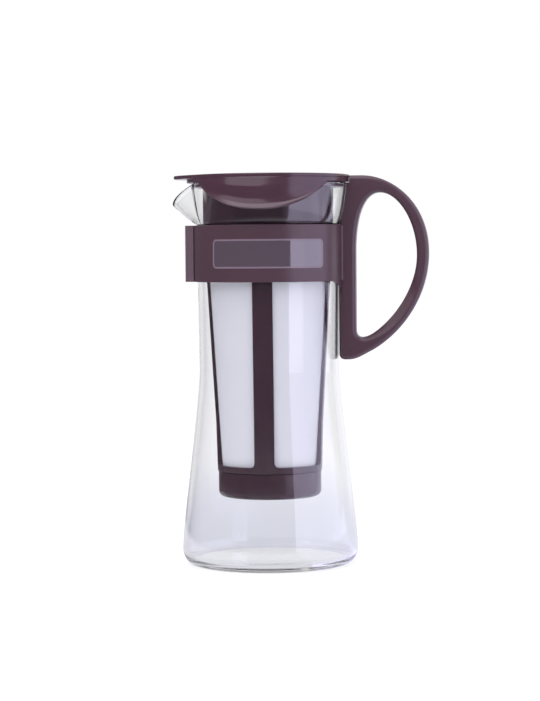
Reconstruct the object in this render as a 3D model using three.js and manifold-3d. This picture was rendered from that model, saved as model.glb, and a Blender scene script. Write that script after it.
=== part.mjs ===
// Cold brew coffee maker: a glass jug with a clipped-on handle band, a lid and a hanging strainer.
// Millimetres, +Z up. The origin is the centre of the jug's flat foot.
// The spout points to -X and the handle to +X.
import * as THREE from 'three';
import { mergeVertices } from 'three/addons/utils/BufferGeometryUtils.js';
import Module from 'manifold-3d';

const wasm = await Module();
wasm.setup();

// Facets
const ROUND_STEPS = 56;
const CURVE_STEPS = 6;
const HANDLE_STEPS = 9;
const EDGE_STEPS = 3;
const LOBE_STEPS = 20;
const PLATE_STEPS = 18;

// Shared clearances and edges
const SEAT_GAP = 0.3;
const SLIDE_GAP = 0.4;
const EDGE_BREAK = 0.5;
const OVERRUN = 5;

// Glass jug, from the foot up
const BASE_RADIUS = 47;
const FOOT_ROUND = 6;
const FOOT_HEIGHT = 8;
const FLOOR_THICKNESS = 3;
const WALL = 1.9;
const WAIST_HEIGHT = 104;
const WAIST_TUCK = 0.5;
const BELL_FOOT_PULL = 14;
const BELL_WAIST_PULL = 22;
const BELL_WAIST_SWELL = 0.8;
const BODY_TAPER = 9.1;
const NECK_LENGTH = 35.3;
const JUG_HEIGHT = 203.1;
const MOUTH_HEIGHT = 21.8;
const MOUTH_FLARE = 4.7;
const FLARE_BEND = 1.7;
const FLARE_RISE = 13;
const FLARE_LEAN = 1.6;
const SPOUT_REACH = 8.7;
const SPOUT_DROP = 11.2;
const SPOUT_HALF_ANGLE = THREE.MathUtils.degToRad(27);

// Handle band
const BAND_HEIGHT = 30;
const BAND_THICKNESS = 1.8;
const BAND_SPLIT = 1;
const ARCH_DROP = 6;
const ARCH_START_ANGLE = THREE.MathUtils.degToRad(34);
const HANDLE_RISE = 3.8;
const HANDLE_HEIGHT = 97.7;
const HANDLE_DEPTH = 47.7;
const HANDLE_WIDTH = 12.6;
const HANDLE_EDGE = 2.3;
const HANDLE_CORNER = 3;
const SPINE_GAP = 0.6;
const SPINE_THICKNESS = 8.9;
const HANDLE_TOP_BAR = 9.1;
const HANDLE_SIDE_BAR = 6.3;
const HANDLE_FOOT_BAR = 10.8;

// Band clip and the two band ends that it holds
const END_STEM = 2.2;
const END_HEAD_HALF_WIDTH = 4.2;
const END_HEAD_THICKNESS = 0.9;
const CLIP_WALL = 1.1;
const CLIP_HOOK = 1.15;
const CLIP_CORNER = 1;

// Strainer frame
const CUP_GAP = 1.2;
const CUP_WALL = 1.5;
const CUP_SHOULDER_DEPTH = 20.1;
const CUP_DEPTH = 45.1;
const LEDGE_HEIGHT = 4;
const STRAINER_TAPER = 6.8;
const FLOOR_CLEARANCE = 33.2;
const RING_HEIGHT = 3.3;
const TAPER_HEIGHT = 26;
const TAPER_SWELL = 0.65;
const RIB_COUNT = 4;
const RIB_WIDTH = 10.5;
const RIB_THICKNESS_TOP = 1.4;
const RIB_THICKNESS_BOTTOM = 2.4;
const WINDOW_CORNER = 3;
const FLANGE_DROP = 2;
const FLANGE_THICKNESS = 1.2;
const HANG_WIDTH = 1.2;
const HANG_HEIGHT = 1.9;

// Filter tube
const MESH_THICKNESS = 0.6;

// Strainer cap and its twist lock
const CAP_STEP = 0.5;
const CAP_HEIGHT = 13.5;
const CAP_FLOOR = 2.2;
const CAP_CORNER = 3.2;
const CAP_WALL = 2.2;
const SPIGOT_WALL = 1.5;
const SPIGOT_DEPTH = 8;
const LUG_COUNT = 3;
const LUG_REACH = 1.1;
const LUG_HEIGHT = 1.8;
const LUG_DEPTH = 3.2;
const LUG_HALF_ANGLE = THREE.MathUtils.degToRad(5);
const TWIST_ANGLE = THREE.MathUtils.degToRad(35);
const LOCK_SLACK_ANGLE = THREE.MathUtils.degToRad(1);

// Lid
const LID_PLATE = 1.9;
const LID_BRIM = 0.4;
const LID_SKIRT_WALL = 1.4;
const LID_HANDLE_GAP = 0.6;
const LID_RING_DEPTH = 6;
const LID_RING_WALL = 1.4;
const BEAK_SHORT = 0.8;
const BEAK_TIP_PULL = 8;
const BEAK_ROOT_PULL = 21;
const BEAK_START_ANGLE = THREE.MathUtils.degToRad(140);
const LOBE_DEPTH = 14.8;
const LOBE_SWELL = 1.9;
const LOBE_HALF_ANGLE = THREE.MathUtils.degToRad(51);
const LIP_FLARE = 2.4;
const LIP_HEIGHT = 4;
const LIP_EDGE = 0.9;

// Places that follow from the sizes above, jug and band
const neckRadius = BASE_RADIUS - BODY_TAPER;
const neckTop = JUG_HEIGHT - MOUTH_HEIGHT;
const neckBottom = neckTop - NECK_LENGTH;
const waistRadius = neckRadius - WAIST_TUCK;
const mouthRadius = neckRadius + MOUTH_FLARE;
const bandTop = neckTop - SEAT_GAP;
const bandBottom = bandTop - BAND_HEIGHT;
const bandInner = neckRadius + SLIDE_GAP;
const bandOuter = bandInner + BAND_THICKNESS;
const bandMiddle = bandInner + BAND_THICKNESS / 2;
const spineInner = waistRadius + SPINE_GAP;
const spineOuter = spineInner + SPINE_THICKNESS;
const handleTop = JUG_HEIGHT + HANDLE_RISE;
const handleBottom = handleTop - HANDLE_HEIGHT;
const handleReach = spineInner + HANDLE_DEPTH;
const endHeadInner = bandOuter + SEAT_GAP + CLIP_HOOK + SEAT_GAP;
const endHeadOuter = endHeadInner + END_HEAD_THICKNESS;
const clipOuter = endHeadOuter + SEAT_GAP + CLIP_WALL;

// Strainer
const flangeOuter = mouthRadius - WALL - SLIDE_GAP;
const flangeBottom = JUG_HEIGHT - FLANGE_DROP;
const flangeTop = flangeBottom + FLANGE_THICKNESS;
const hangBottom = JUG_HEIGHT + SEAT_GAP;
const hangTop = hangBottom + HANG_HEIGHT;
const hangOuter = flangeOuter + HANG_WIDTH;
const cupRadius = neckRadius - WALL - CUP_GAP;
const cupInner = cupRadius - CUP_WALL;
const cupShoulder = JUG_HEIGHT - CUP_SHOULDER_DEPTH;
const cupBottom = JUG_HEIGHT - CUP_DEPTH;
const ledgeTop = cupBottom + LEDGE_HEIGHT;
const ringBottom = FLOOR_THICKNESS + FLOOR_CLEARANCE + CAP_HEIGHT + SEAT_GAP;
const ringRadius = cupRadius - STRAINER_TAPER;
const ringTop = ringBottom + RING_HEIGHT;
const ringLedge = ringBottom + RING_HEIGHT / 2;
const taperZ = ringBottom + TAPER_HEIGHT;
const capRadius = ringRadius - CAP_STEP;
const capInner = capRadius - CAP_WALL;
const capTop = ringBottom - SEAT_GAP;
const capBottom = capTop - CAP_HEIGHT;
const spigotOuter = capInner - SEAT_GAP;
const spigotInner = spigotOuter - SPIGOT_WALL;
const spigotBottom = ringBottom - SPIGOT_DEPTH;
const lugOuter = spigotOuter + LUG_REACH;
const lugTop = ringBottom - LUG_DEPTH;

// Lid
const skirtInner = hangOuter + SLIDE_GAP;
const skirtOuter = skirtInner + LID_SKIRT_WALL;
const skirtBottom = JUG_HEIGHT + SLIDE_GAP;
const lidUnderside = hangTop + SEAT_GAP;
const lidTop = lidUnderside + LID_PLATE;
const lidRadius = skirtOuter + LID_BRIM;
const lobeInner = mouthRadius + SLIDE_GAP;
const beakReach = mouthRadius + SPOUT_REACH - BEAK_SHORT;

function at(r, z) {
  return new THREE.Vector2(r, z);
}

function bezier(a, b, c, d, steps = CURVE_STEPS) {
  return new THREE.CubicBezierCurve(a, b, c, d).getPoints(steps);
}

// Closed solids and the booleans between them

function toSolid(geometry) {
  const bare = geometry.clone();
  bare.deleteAttribute('normal');
  bare.deleteAttribute('uv');
  const merged = mergeVertices(bare);
  const corners = merged.index.array;
  const triangles = [];
  for (let i = 0; i < corners.length; i += 3) {
    const [a, b, c] = [corners[i], corners[i + 1], corners[i + 2]];
    if (a !== b && b !== c && c !== a) triangles.push(a, b, c);
  }
  return new wasm.Manifold(new wasm.Mesh({
    numProp: 3,
    vertProperties: new Float32Array(merged.attributes.position.array),
    triVerts: new Uint32Array(triangles),
  }));
}

function toGeometry(solid) {
  const cut = solid.getMesh();
  const geometry = new THREE.BufferGeometry();
  geometry.setAttribute('position', new THREE.BufferAttribute(cut.vertProperties, cut.numProp));
  geometry.setIndex(new THREE.BufferAttribute(cut.triVerts, 1));
  geometry.computeVertexNormals();
  return geometry;
}

// A profile of (radius, height) points turned round the Z axis
function revolve(profile) {
  const geometry = new THREE.LatheGeometry(profile, ROUND_STEPS);
  geometry.rotateX(Math.PI / 2);
  return geometry;
}

// A profile that runs round a ring and closes on itself
function ring(points) {
  return revolve([...points, points[0].clone()]);
}

// An outline in the XZ plane given thickness along Y, with rounded edges
function plate(shape, thickness, edge, steps = CURVE_STEPS) {
  const geometry = new THREE.ExtrudeGeometry(shape, {
    depth: thickness - 2 * edge,
    bevelEnabled: edge > 0,
    bevelThickness: edge,
    bevelSize: edge,
    bevelOffset: -edge,
    bevelSegments: EDGE_STEPS,
    curveSegments: steps,
  });
  geometry.translate(0, 0, edge - thickness / 2);
  geometry.rotateX(Math.PI / 2);
  return geometry;
}

// An outline in the XY plane raised from one height to another, with edges rounded by edge
function slab(shape, bottom, top, edge = 0, steps = EDGE_STEPS) {
  const geometry = new THREE.ExtrudeGeometry(shape, {
    depth: top - bottom - 2 * edge,
    bevelEnabled: edge > 0,
    bevelThickness: edge,
    bevelSize: edge,
    bevelOffset: -edge,
    bevelSegments: EDGE_STEPS - 1,
    curveSegments: steps,
  });
  geometry.translate(0, 0, bottom + edge);
  return geometry;
}

// A sector of a ring seen from above, between two radii and two angles
function sector(inner, outer, from, to) {
  const shape = new THREE.Shape();
  shape.absarc(0, 0, outer, from, to, false);
  shape.absarc(0, 0, inner, to, from, true);
  return shape;
}

// A rectangle in the XY plane
function rectangle(left, right, near, far) {
  return new THREE.Shape([at(left, near), at(right, near), at(right, far), at(left, far)]);
}

// Rings of equally many points joined into one closed body with flat ends
function loft(sections) {
  const count = sections[0].length;
  const corners = sections.flat().flatMap((corner) => [corner.x, corner.y, corner.z]);
  const faces = [];
  for (let i = 0; i + 1 < sections.length; i += 1) {
    for (let j = 0; j < count; j += 1) {
      const a = i * count + j;
      const b = i * count + ((j + 1) % count);
      faces.push(a, b + count, b, a, a + count, b + count);
    }
  }
  const last = (sections.length - 1) * count;
  const outline = sections[0].map((corner) => at(Math.hypot(corner.x, corner.y), corner.z));
  THREE.ShapeUtils.triangulateShape(outline, []).forEach(([a, b, c]) => {
    faces.push(a, b, c);
    faces.push(last + c, last + b, last + a);
  });
  const geometry = new THREE.BufferGeometry();
  geometry.setAttribute('position', new THREE.Float32BufferAttribute(corners, 3));
  geometry.setIndex(faces);
  return geometry;
}

// Glass jug

// The wall from the top of the foot to the rim, moved outward by grow
function jugWall(grow) {
  const bell = bezier(
    at(BASE_RADIUS + grow, FOOT_HEIGHT),
    at(BASE_RADIUS + grow, FOOT_HEIGHT + BELL_FOOT_PULL),
    at(waistRadius + BELL_WAIST_SWELL + grow, WAIST_HEIGHT - BELL_WAIST_PULL),
    at(waistRadius + grow, WAIST_HEIGHT),
  );
  const flare = bezier(
    at(neckRadius + grow, neckTop),
    at(neckRadius + FLARE_BEND + grow, neckTop + FLARE_BEND),
    at(mouthRadius - FLARE_LEAN + grow, JUG_HEIGHT - WALL - FLARE_RISE),
    at(mouthRadius + grow, JUG_HEIGHT - WALL),
  );
  return [...bell, at(neckRadius + grow, neckBottom), ...flare];
}

// How far the spout pulls a point of the mouth outward and down
function pullSpout(position) {
  for (let i = 0; i < position.count; i += 1) {
    const [x, y, z] = [position.getX(i), position.getY(i), position.getZ(i)];
    const turn = Math.abs(Math.atan2(y, -x)) / SPOUT_HALF_ANGLE;
    if (z > neckTop && turn < 1) {
      const pull = Math.cos((turn * Math.PI) / 2) ** 2;
      const height = (z - neckTop) / (JUG_HEIGHT - neckTop);
      const radius = Math.hypot(x, y);
      const reach = radius + SPOUT_REACH * Math.sin((pull * Math.PI) / 2) * height;
      position.setXYZ(i, (x * reach) / radius, (y * reach) / radius, z - SPOUT_DROP * pull * height);
    }
  }
}

function glassJug() {
  const foot = bezier(
    at(BASE_RADIUS - FOOT_ROUND, 0),
    at(BASE_RADIUS - FOOT_ROUND / 2, 0),
    at(BASE_RADIUS, FOOT_HEIGHT / 2),
    at(BASE_RADIUS, FOOT_HEIGHT),
    EDGE_STEPS + 1,
  );
  const innerFoot = bezier(
    at(BASE_RADIUS - WALL, FOOT_HEIGHT + WALL),
    at(BASE_RADIUS - WALL, FLOOR_THICKNESS + WALL),
    at(BASE_RADIUS - WALL - FOOT_ROUND / 2, FLOOR_THICKNESS),
    at(BASE_RADIUS - FOOT_ROUND, FLOOR_THICKNESS),
    EDGE_STEPS,
  );
  const half = WALL / 2;
  const bead = new THREE.EllipseCurve(mouthRadius - half, JUG_HEIGHT - half, half, half, 0, Math.PI);
  const outer = jugWall(0);
  const inner = jugWall(-WALL).slice(1).reverse();
  const geometry = revolve([
    at(0, 0),
    ...foot,
    ...outer.slice(1),
    ...bead.getPoints(EDGE_STEPS + 1),
    ...inner,
    ...innerFoot,
    at(0, FLOOR_THICKNESS),
  ]);
  pullSpout(geometry.attributes.position);
  return toGeometry(toSolid(geometry));
}

// Handle band

// A point of the handle's side view, as shares of a box from low to high
function inBox(low, high, [across, up]) {
  return at(low.x + (high.x - low.x) * across, low.y + (high.y - low.y) * up);
}

// The handle's outer edge and finger hole, as shares of the boxes round them. Each row is one curve:
// two pulls and an end.
const outerCurveShares = [
  [[0.62, 1], [1, 0.84], [1, 0.58]],
  [[1, 0.35], [0.72, 0.15], [0.375, 0.052]],
  [[0.26, 0.024], [0.2, 0], [0.1, 0]],
];
const outerStartShare = [0.25, 1];
const holeStartShare = [0, 0.065];
const holeCurveShares = [
  [[0, 0], [0.13, 0], [0.29, 0.043]],
  [[0.68, 0.157], [1, 0.37], [1, 0.575]],
  [[1, 0.8], [0.7, 1], [0.395, 1]],
  [[0.17, 1], [0.01, 0.87], [0, 0.62]],
  [[0, 0.45], [0, 0.3], [0, 0.065]],
];

function trace(path, low, high, start, curves) {
  const first = inBox(low, high, start);
  path.moveTo(first.x, first.y);
  curves.forEach((curve) => {
    const [pull, push, end] = curve.map((share) => inBox(low, high, share));
    path.bezierCurveTo(pull.x, pull.y, push.x, push.y, end.x, end.y);
  });
}

function handleOutline() {
  const low = at(spineInner, handleBottom);
  const high = at(handleReach, handleTop);
  const shape = new THREE.Shape();
  trace(shape, low, high, outerStartShare, outerCurveShares);
  shape.absarc(low.x + HANDLE_CORNER, low.y + HANDLE_CORNER, HANDLE_CORNER, -Math.PI / 2, -Math.PI, true);
  shape.lineTo(low.x, bandTop);
  shape.lineTo(low.x, high.y);
  const hole = new THREE.Path();
  const holeLow = at(spineOuter, handleBottom + HANDLE_FOOT_BAR);
  const holeHigh = at(handleReach - HANDLE_SIDE_BAR, handleTop - HANDLE_TOP_BAR);
  trace(hole, holeLow, holeHigh, holeStartShare, holeCurveShares);
  shape.holes.push(hole);
  return shape;
}

// The space that the handle keeps free: the glass, the wall of the band and the lid
function handleClearance() {
  const flare = jugWall(SLIDE_GAP).filter((point) => point.y > bandTop);
  return toSolid(revolve([
    at(0, handleBottom - OVERRUN),
    at(spineInner, handleBottom - OVERRUN),
    at(spineInner, bandBottom),
    at(bandMiddle, bandBottom),
    at(bandMiddle, bandTop),
    ...flare,
    at(mouthRadius + SLIDE_GAP, JUG_HEIGHT),
    at(lidRadius + LID_HANDLE_GAP, JUG_HEIGHT),
    at(lidRadius + LID_HANDLE_GAP, handleTop + OVERRUN),
    at(0, handleTop + OVERRUN),
  ]));
}

function bandRing(bottom, top) {
  return toSolid(ring([
    at(bandInner, bottom),
    at(bandOuter - EDGE_BREAK, bottom),
    at(bandOuter, bottom + EDGE_BREAK),
    at(bandOuter, top - EDGE_BREAK),
    at(bandOuter - EDGE_BREAK, top),
    at(bandInner, top),
  ]));
}

// The band's lower edge sweeps down into the handle's spine
function bandArch() {
  const start = bandOuter * Math.cos(ARCH_START_ANGLE);
  const edge = bandBottom + EDGE_BREAK;
  const shape = new THREE.Shape();
  shape.moveTo(start, edge);
  shape.quadraticCurveTo(spineInner, edge, bandOuter, bandBottom - ARCH_DROP);
  shape.lineTo(bandOuter + OVERRUN, bandBottom - ARCH_DROP);
  shape.lineTo(bandOuter + OVERRUN, edge + EDGE_BREAK);
  shape.lineTo(start, edge + EDGE_BREAK);
  const skirt = bandRing(bandBottom - ARCH_DROP - EDGE_BREAK, bandBottom + BAND_HEIGHT / 2);
  return skirt.intersect(toSolid(plate(shape, 2 * bandOuter, 0)));
}

// The turned-out ends of the band, either side of the split
function bandEnds() {
  const stem = BAND_SPLIT / 2 + END_STEM;
  const stems = rectangle(-endHeadOuter, -bandMiddle, -stem, stem);
  const heads = rectangle(-endHeadOuter, -endHeadInner, -END_HEAD_HALF_WIDTH, END_HEAD_HALF_WIDTH);
  const bottom = bandBottom + EDGE_BREAK;
  const top = bandTop - EDGE_BREAK;
  return toSolid(slab(stems, bottom, top)).add(toSolid(slab(heads, bottom, top)));
}

function handleBand() {
  const bar = plate(handleOutline(), HANDLE_WIDTH, HANDLE_EDGE, HANDLE_STEPS);
  const handle = toSolid(bar).subtract(handleClearance());
  const half = BAND_SPLIT / 2;
  const split = rectangle(-clipOuter - OVERRUN, -bandInner + OVERRUN, -half, half);
  const gap = toSolid(slab(split, bandBottom - OVERRUN, bandTop + OVERRUN));
  return toGeometry(bandRing(bandBottom, bandTop).add(bandArch()).add(handle).add(bandEnds()).subtract(gap));
}

// Band clip

function bandClip() {
  const back = -clipOuter;
  const front = -bandOuter - SEAT_GAP;
  const half = END_HEAD_HALF_WIDTH + SEAT_GAP + CLIP_WALL;
  const pocket = END_HEAD_HALF_WIDTH + SEAT_GAP;
  const throat = BAND_SPLIT / 2 + END_STEM + SEAT_GAP;
  const shape = new THREE.Shape();
  shape.moveTo(front, -half);
  shape.lineTo(front, -throat);
  shape.lineTo(front - CLIP_HOOK, -throat);
  shape.lineTo(front - CLIP_HOOK, -pocket);
  shape.lineTo(back + CLIP_WALL, -pocket);
  shape.lineTo(back + CLIP_WALL, pocket);
  shape.lineTo(front - CLIP_HOOK, pocket);
  shape.lineTo(front - CLIP_HOOK, throat);
  shape.lineTo(front, throat);
  shape.lineTo(front, half);
  shape.lineTo(back + CLIP_CORNER, half);
  shape.quadraticCurveTo(back, half, back, half - CLIP_CORNER);
  shape.lineTo(back, CLIP_CORNER - half);
  shape.quadraticCurveTo(back, -half, back + CLIP_CORNER, -half);
  const geometry = new THREE.ExtrudeGeometry(shape, {
    depth: BAND_HEIGHT,
    bevelEnabled: false,
    curveSegments: EDGE_STEPS,
  });
  geometry.translate(0, 0, bandBottom);
  return toGeometry(toSolid(geometry));
}

// Strainer frame

// The frame's outer radius at a height
function frameRadius(z) {
  if (z > cupShoulder) return cupRadius;
  const swollen = ringRadius + TAPER_SWELL;
  if (z > taperZ) return THREE.MathUtils.mapLinear(z, taperZ, cupShoulder, swollen, cupRadius);
  return THREE.MathUtils.mapLinear(z, ringBottom, taperZ, ringRadius, swollen);
}

function ribInner(z) {
  const top = frameRadius(cupBottom) - RIB_THICKNESS_TOP;
  const bottom = frameRadius(ringTop) - RIB_THICKNESS_BOTTOM;
  return THREE.MathUtils.mapLinear(z, ringTop, cupBottom, bottom, top);
}

// A window's cutter reaches from well inside the wall to well outside, so that its flat ends miss the wall
const windowInnerShare = 0.5;
const windowOuterShare = 1.5;

// One window between two ribs. Its sides stay half a rib from the ribs' middles.
function windowCutter(turn) {
  const corner = WINDOW_CORNER;
  const reach = (Math.PI * ringRadius) / RIB_COUNT - RIB_WIDTH / 2;
  const shape = new THREE.Shape();
  shape.moveTo(-reach, ringTop + corner);
  shape.quadraticCurveTo(-reach, ringTop, corner - reach, ringTop);
  for (let i = 1; i <= CURVE_STEPS; i += 1) {
    shape.lineTo(THREE.MathUtils.lerp(corner - reach, reach - corner, i / CURVE_STEPS), ringTop);
  }
  shape.quadraticCurveTo(reach, ringTop, reach, ringTop + corner);
  shape.lineTo(reach, taperZ);
  shape.lineTo(reach, cupBottom - corner);
  shape.quadraticCurveTo(reach, cupBottom, reach - corner, cupBottom);
  for (let i = CURVE_STEPS - 1; i >= 0; i -= 1) {
    shape.lineTo(THREE.MathUtils.lerp(corner - reach, reach - corner, i / CURVE_STEPS), cupBottom);
  }
  shape.quadraticCurveTo(-reach, cupBottom, -reach, cupBottom - corner);
  shape.lineTo(-reach, taperZ);
  const geometry = new THREE.ExtrudeGeometry(shape, {
    depth: 1,
    bevelEnabled: false,
    curveSegments: EDGE_STEPS,
  });
  const position = geometry.attributes.position;
  for (let i = 0; i < position.count; i += 1) {
    const z = position.getY(i);
    const halfWindow = Math.PI / RIB_COUNT - Math.asin(RIB_WIDTH / 2 / frameRadius(z));
    const angle = turn + (position.getX(i) / reach) * halfWindow;
    const radius = frameRadius(z) * (position.getZ(i) > 0 ? windowOuterShare : windowInnerShare);
    position.setXYZ(i, -radius * Math.cos(angle), -radius * Math.sin(angle), z);
  }
  return toSolid(geometry);
}

function strainerFrame() {
  const wall = toSolid(ring([
    at(spigotInner, spigotBottom),
    at(spigotOuter, spigotBottom),
    at(spigotOuter, ringBottom),
    at(ringRadius, ringBottom),
    at(ringRadius + TAPER_SWELL, taperZ),
    at(cupRadius, cupShoulder),
    at(cupRadius, flangeBottom),
    at(flangeOuter, flangeBottom),
    at(flangeOuter, hangBottom),
    at(hangOuter, hangBottom),
    at(hangOuter, hangTop),
    at(flangeOuter - FLANGE_THICKNESS, hangTop),
    at(flangeOuter - FLANGE_THICKNESS, flangeTop),
    at(cupInner, flangeTop),
    at(cupInner, cupShoulder),
    at(frameRadius(ledgeTop) - CUP_WALL, ledgeTop),
    at(ribInner(cupBottom) - MESH_THICKNESS - SEAT_GAP, ledgeTop),
    at(ribInner(cupBottom) - MESH_THICKNESS - SEAT_GAP, cupBottom),
    at(ribInner(cupBottom), cupBottom),
    at(ribInner(ringTop), ringTop),
    at(ribInner(ringLedge), ringLedge),
    at(spigotInner, ringLedge),
  ]));
  const windows = [];
  for (let i = 0; i < RIB_COUNT; i += 1) {
    windows.push(windowCutter(((2 * i + 1) * Math.PI) / RIB_COUNT));
  }
  let frame = windows.reduce((solid, cutter) => solid.subtract(cutter), wall);
  for (let i = 0; i < LUG_COUNT; i += 1) {
    const middle = (i * 2 * Math.PI) / LUG_COUNT;
    const root = spigotOuter - SPIGOT_WALL / 2;
    const lug = sector(root, lugOuter, middle - LUG_HALF_ANGLE, middle + LUG_HALF_ANGLE);
    frame = frame.add(toSolid(slab(lug, lugTop - LUG_HEIGHT, lugTop)));
  }
  return toGeometry(frame);
}

// Filter tube, held between the cup's ledge and the ring

function strainerMesh() {
  const bottom = ringLedge + SEAT_GAP;
  const top = cupBottom - SEAT_GAP;
  return toGeometry(toSolid(ring([
    at(ribInner(bottom) - SEAT_GAP - MESH_THICKNESS, bottom),
    at(ribInner(bottom) - SEAT_GAP, bottom),
    at(ribInner(top) - SEAT_GAP, top),
    at(ribInner(top) - SEAT_GAP - MESH_THICKNESS, top),
  ])));
}

// Strainer cap with its L-shaped lock slots

function strainerCap() {
  const corner = new THREE.EllipseCurve(
    capRadius - CAP_CORNER, capBottom + CAP_CORNER, CAP_CORNER, CAP_CORNER, -Math.PI / 2, 0,
  );
  let cap = toSolid(revolve([
    at(0, capBottom),
    ...corner.getPoints(CURVE_STEPS),
    at(capRadius, capTop - EDGE_BREAK),
    at(capRadius - EDGE_BREAK, capTop),
    at(capInner, capTop),
    at(capInner, capBottom + CAP_FLOOR),
    at(0, capBottom + CAP_FLOOR),
  ]));
  const half = LUG_HALF_ANGLE + LOCK_SLACK_ANGLE;
  const low = lugTop - LUG_HEIGHT - SEAT_GAP;
  const [near, far] = [capInner - OVERRUN, lugOuter + SEAT_GAP];
  for (let i = 0; i < LUG_COUNT; i += 1) {
    const locked = (i * 2 * Math.PI) / LUG_COUNT;
    const open = locked - TWIST_ANGLE;
    const entry = sector(near, far, open - half, open + half);
    const run = sector(near, far, open - half, locked + half);
    cap = cap.subtract(toSolid(slab(run, low, lugTop + SEAT_GAP)));
    cap = cap.subtract(toSolid(slab(entry, low, capTop + OVERRUN)));
  }
  return toGeometry(cap);
}

// Lid

// Plate seen from above: round, and drawn out into the beak at -X
function lidOutline() {
  const start = BEAK_START_ANGLE;
  const shape = new THREE.Shape();
  shape.absarc(0, 0, lidRadius, -start, start, false);
  const root = at(Math.cos(start), Math.sin(start)).multiplyScalar(lidRadius);
  const tangent = at(-Math.sin(start), Math.cos(start));
  const pull = root.clone().addScaledVector(tangent, BEAK_ROOT_PULL);
  shape.bezierCurveTo(pull.x, pull.y, -beakReach, BEAK_TIP_PULL, -beakReach, 0);
  shape.bezierCurveTo(-beakReach, -BEAK_TIP_PULL, pull.x, -pull.y, root.x, -root.y);
  return shape;
}

// A lobe's lower edge follows 1 - share ** power, and so do its swell and its lip. The two ends keep a
// little height, so that they close. The swell is full at the shoulder, this share of the way down.
const lobeEndShare = 0.985;
const lobeShoulderShare = 0.45;
const lobePower = 2.3;
const swellPower = 2;
const lipPower = 4;
const lipHeightPower = 0.4;

// A finger lobe in stations from one end to the other, hanging outside the glass at the front or back
function lidLobe(side) {
  const root = skirtOuter - LID_SKIRT_WALL / 2;
  const rootBottom = skirtBottom + EDGE_BREAK;
  const top = lidUnderside + EDGE_BREAK;
  const stations = [];
  for (let i = 0; i <= LOBE_STEPS; i += 1) {
    const angle = THREE.MathUtils.lerp(-LOBE_HALF_ANGLE, LOBE_HALF_ANGLE, i / LOBE_STEPS);
    const share = lobeEndShare * Math.abs(Math.sin(angle) / Math.sin(LOBE_HALF_ANGLE));
    const bottom = skirtBottom - LOBE_DEPTH * (1 - share ** lobePower);
    const outer = skirtOuter + LOBE_SWELL * (1 - share ** swellPower);
    const lip = 1 - share ** lipPower;
    const flare = LIP_FLARE * lip;
    const band = LIP_HEIGHT * lip * (1 - share ** lobePower) ** lipHeightPower;
    const section = [
      at(root, top),
      at(root, rootBottom),
      at(lobeInner, rootBottom),
      at(lobeInner, bottom + band / 2),
      at(lobeInner + flare / 2, bottom),
      at(outer + flare, bottom),
      at(outer + flare, bottom + (band * LIP_EDGE) / LIP_HEIGHT),
      at(outer + flare / 3, bottom + band / 2),
      at(outer, bottom + band),
      at(outer, THREE.MathUtils.lerp(top, bottom + band, lobeShoulderShare)),
      at(skirtOuter, top),
    ];
    stations.push(section.map(({ x, y }) => new THREE.Vector3(
      side * x * Math.sin(angle), -side * x * Math.cos(angle), y,
    )));
  }
  return toSolid(loft(stations));
}

function lid() {
  const top = toSolid(slab(lidOutline(), lidUnderside, lidTop, EDGE_BREAK, PLATE_STEPS));
  const skirt = toSolid(ring([
    at(skirtInner, skirtBottom),
    at(skirtOuter, skirtBottom),
    at(skirtOuter, lidUnderside + EDGE_BREAK),
    at(skirtInner, lidUnderside + EDGE_BREAK),
  ]));
  const ringOuter = cupInner - SLIDE_GAP;
  const centring = toSolid(ring([
    at(ringOuter - LID_RING_WALL, lidUnderside - LID_RING_DEPTH),
    at(ringOuter - EDGE_BREAK, lidUnderside - LID_RING_DEPTH),
    at(ringOuter, lidUnderside - LID_RING_DEPTH + EDGE_BREAK),
    at(ringOuter, lidUnderside + EDGE_BREAK),
    at(ringOuter - LID_RING_WALL, lidUnderside + EDGE_BREAK),
  ]));
  return toGeometry(top.add(skirt).add(centring).add(lidLobe(1)).add(lidLobe(-1)));
}

// The assembly

function piece(name, geometry, color, roughness, extra = {}) {
  const material = new THREE.MeshStandardMaterial({ color, roughness, metalness: 0, ...extra });
  const mesh = new THREE.Mesh(geometry, material);
  mesh.name = name;
  return mesh;
}

const coffeeMaker = new THREE.Group();
coffeeMaker.add(
  piece('glass_jug', glassJug(), 0xe3e3ee, 0.05, { transparent: true, opacity: 0.35 }),
  piece('handle_band', handleBand(), 0x483943, 0.3),
  piece('band_clip', bandClip(), 0x483943, 0.3),
  piece('strainer_frame', strainerFrame(), 0x45313a, 0.35),
  piece('strainer_mesh', strainerMesh(), 0xd3d6e2, 0.8),
  piece('strainer_cap', strainerCap(), 0x3e2a35, 0.35),
  piece('lid', lid(), 0x5a4650, 0.25),
);

export default coffeeMaker;
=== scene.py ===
# %% [markdown]
# # Cold brew coffee maker
# A clear glass jug with a beaked lid, a brown handle moulded in one with its neck band, and a filter
# strainer that hangs in the jug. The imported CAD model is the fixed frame. This lesson builds each piece
# again at full fineness from the same sizes, and gives it the finish of the real one.

# %% Load the frame
import math
from functools import partial

import bmesh
import bpy
from mathutils import Matrix, Vector
from mathutils.geometry import tessellate_polygon


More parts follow.
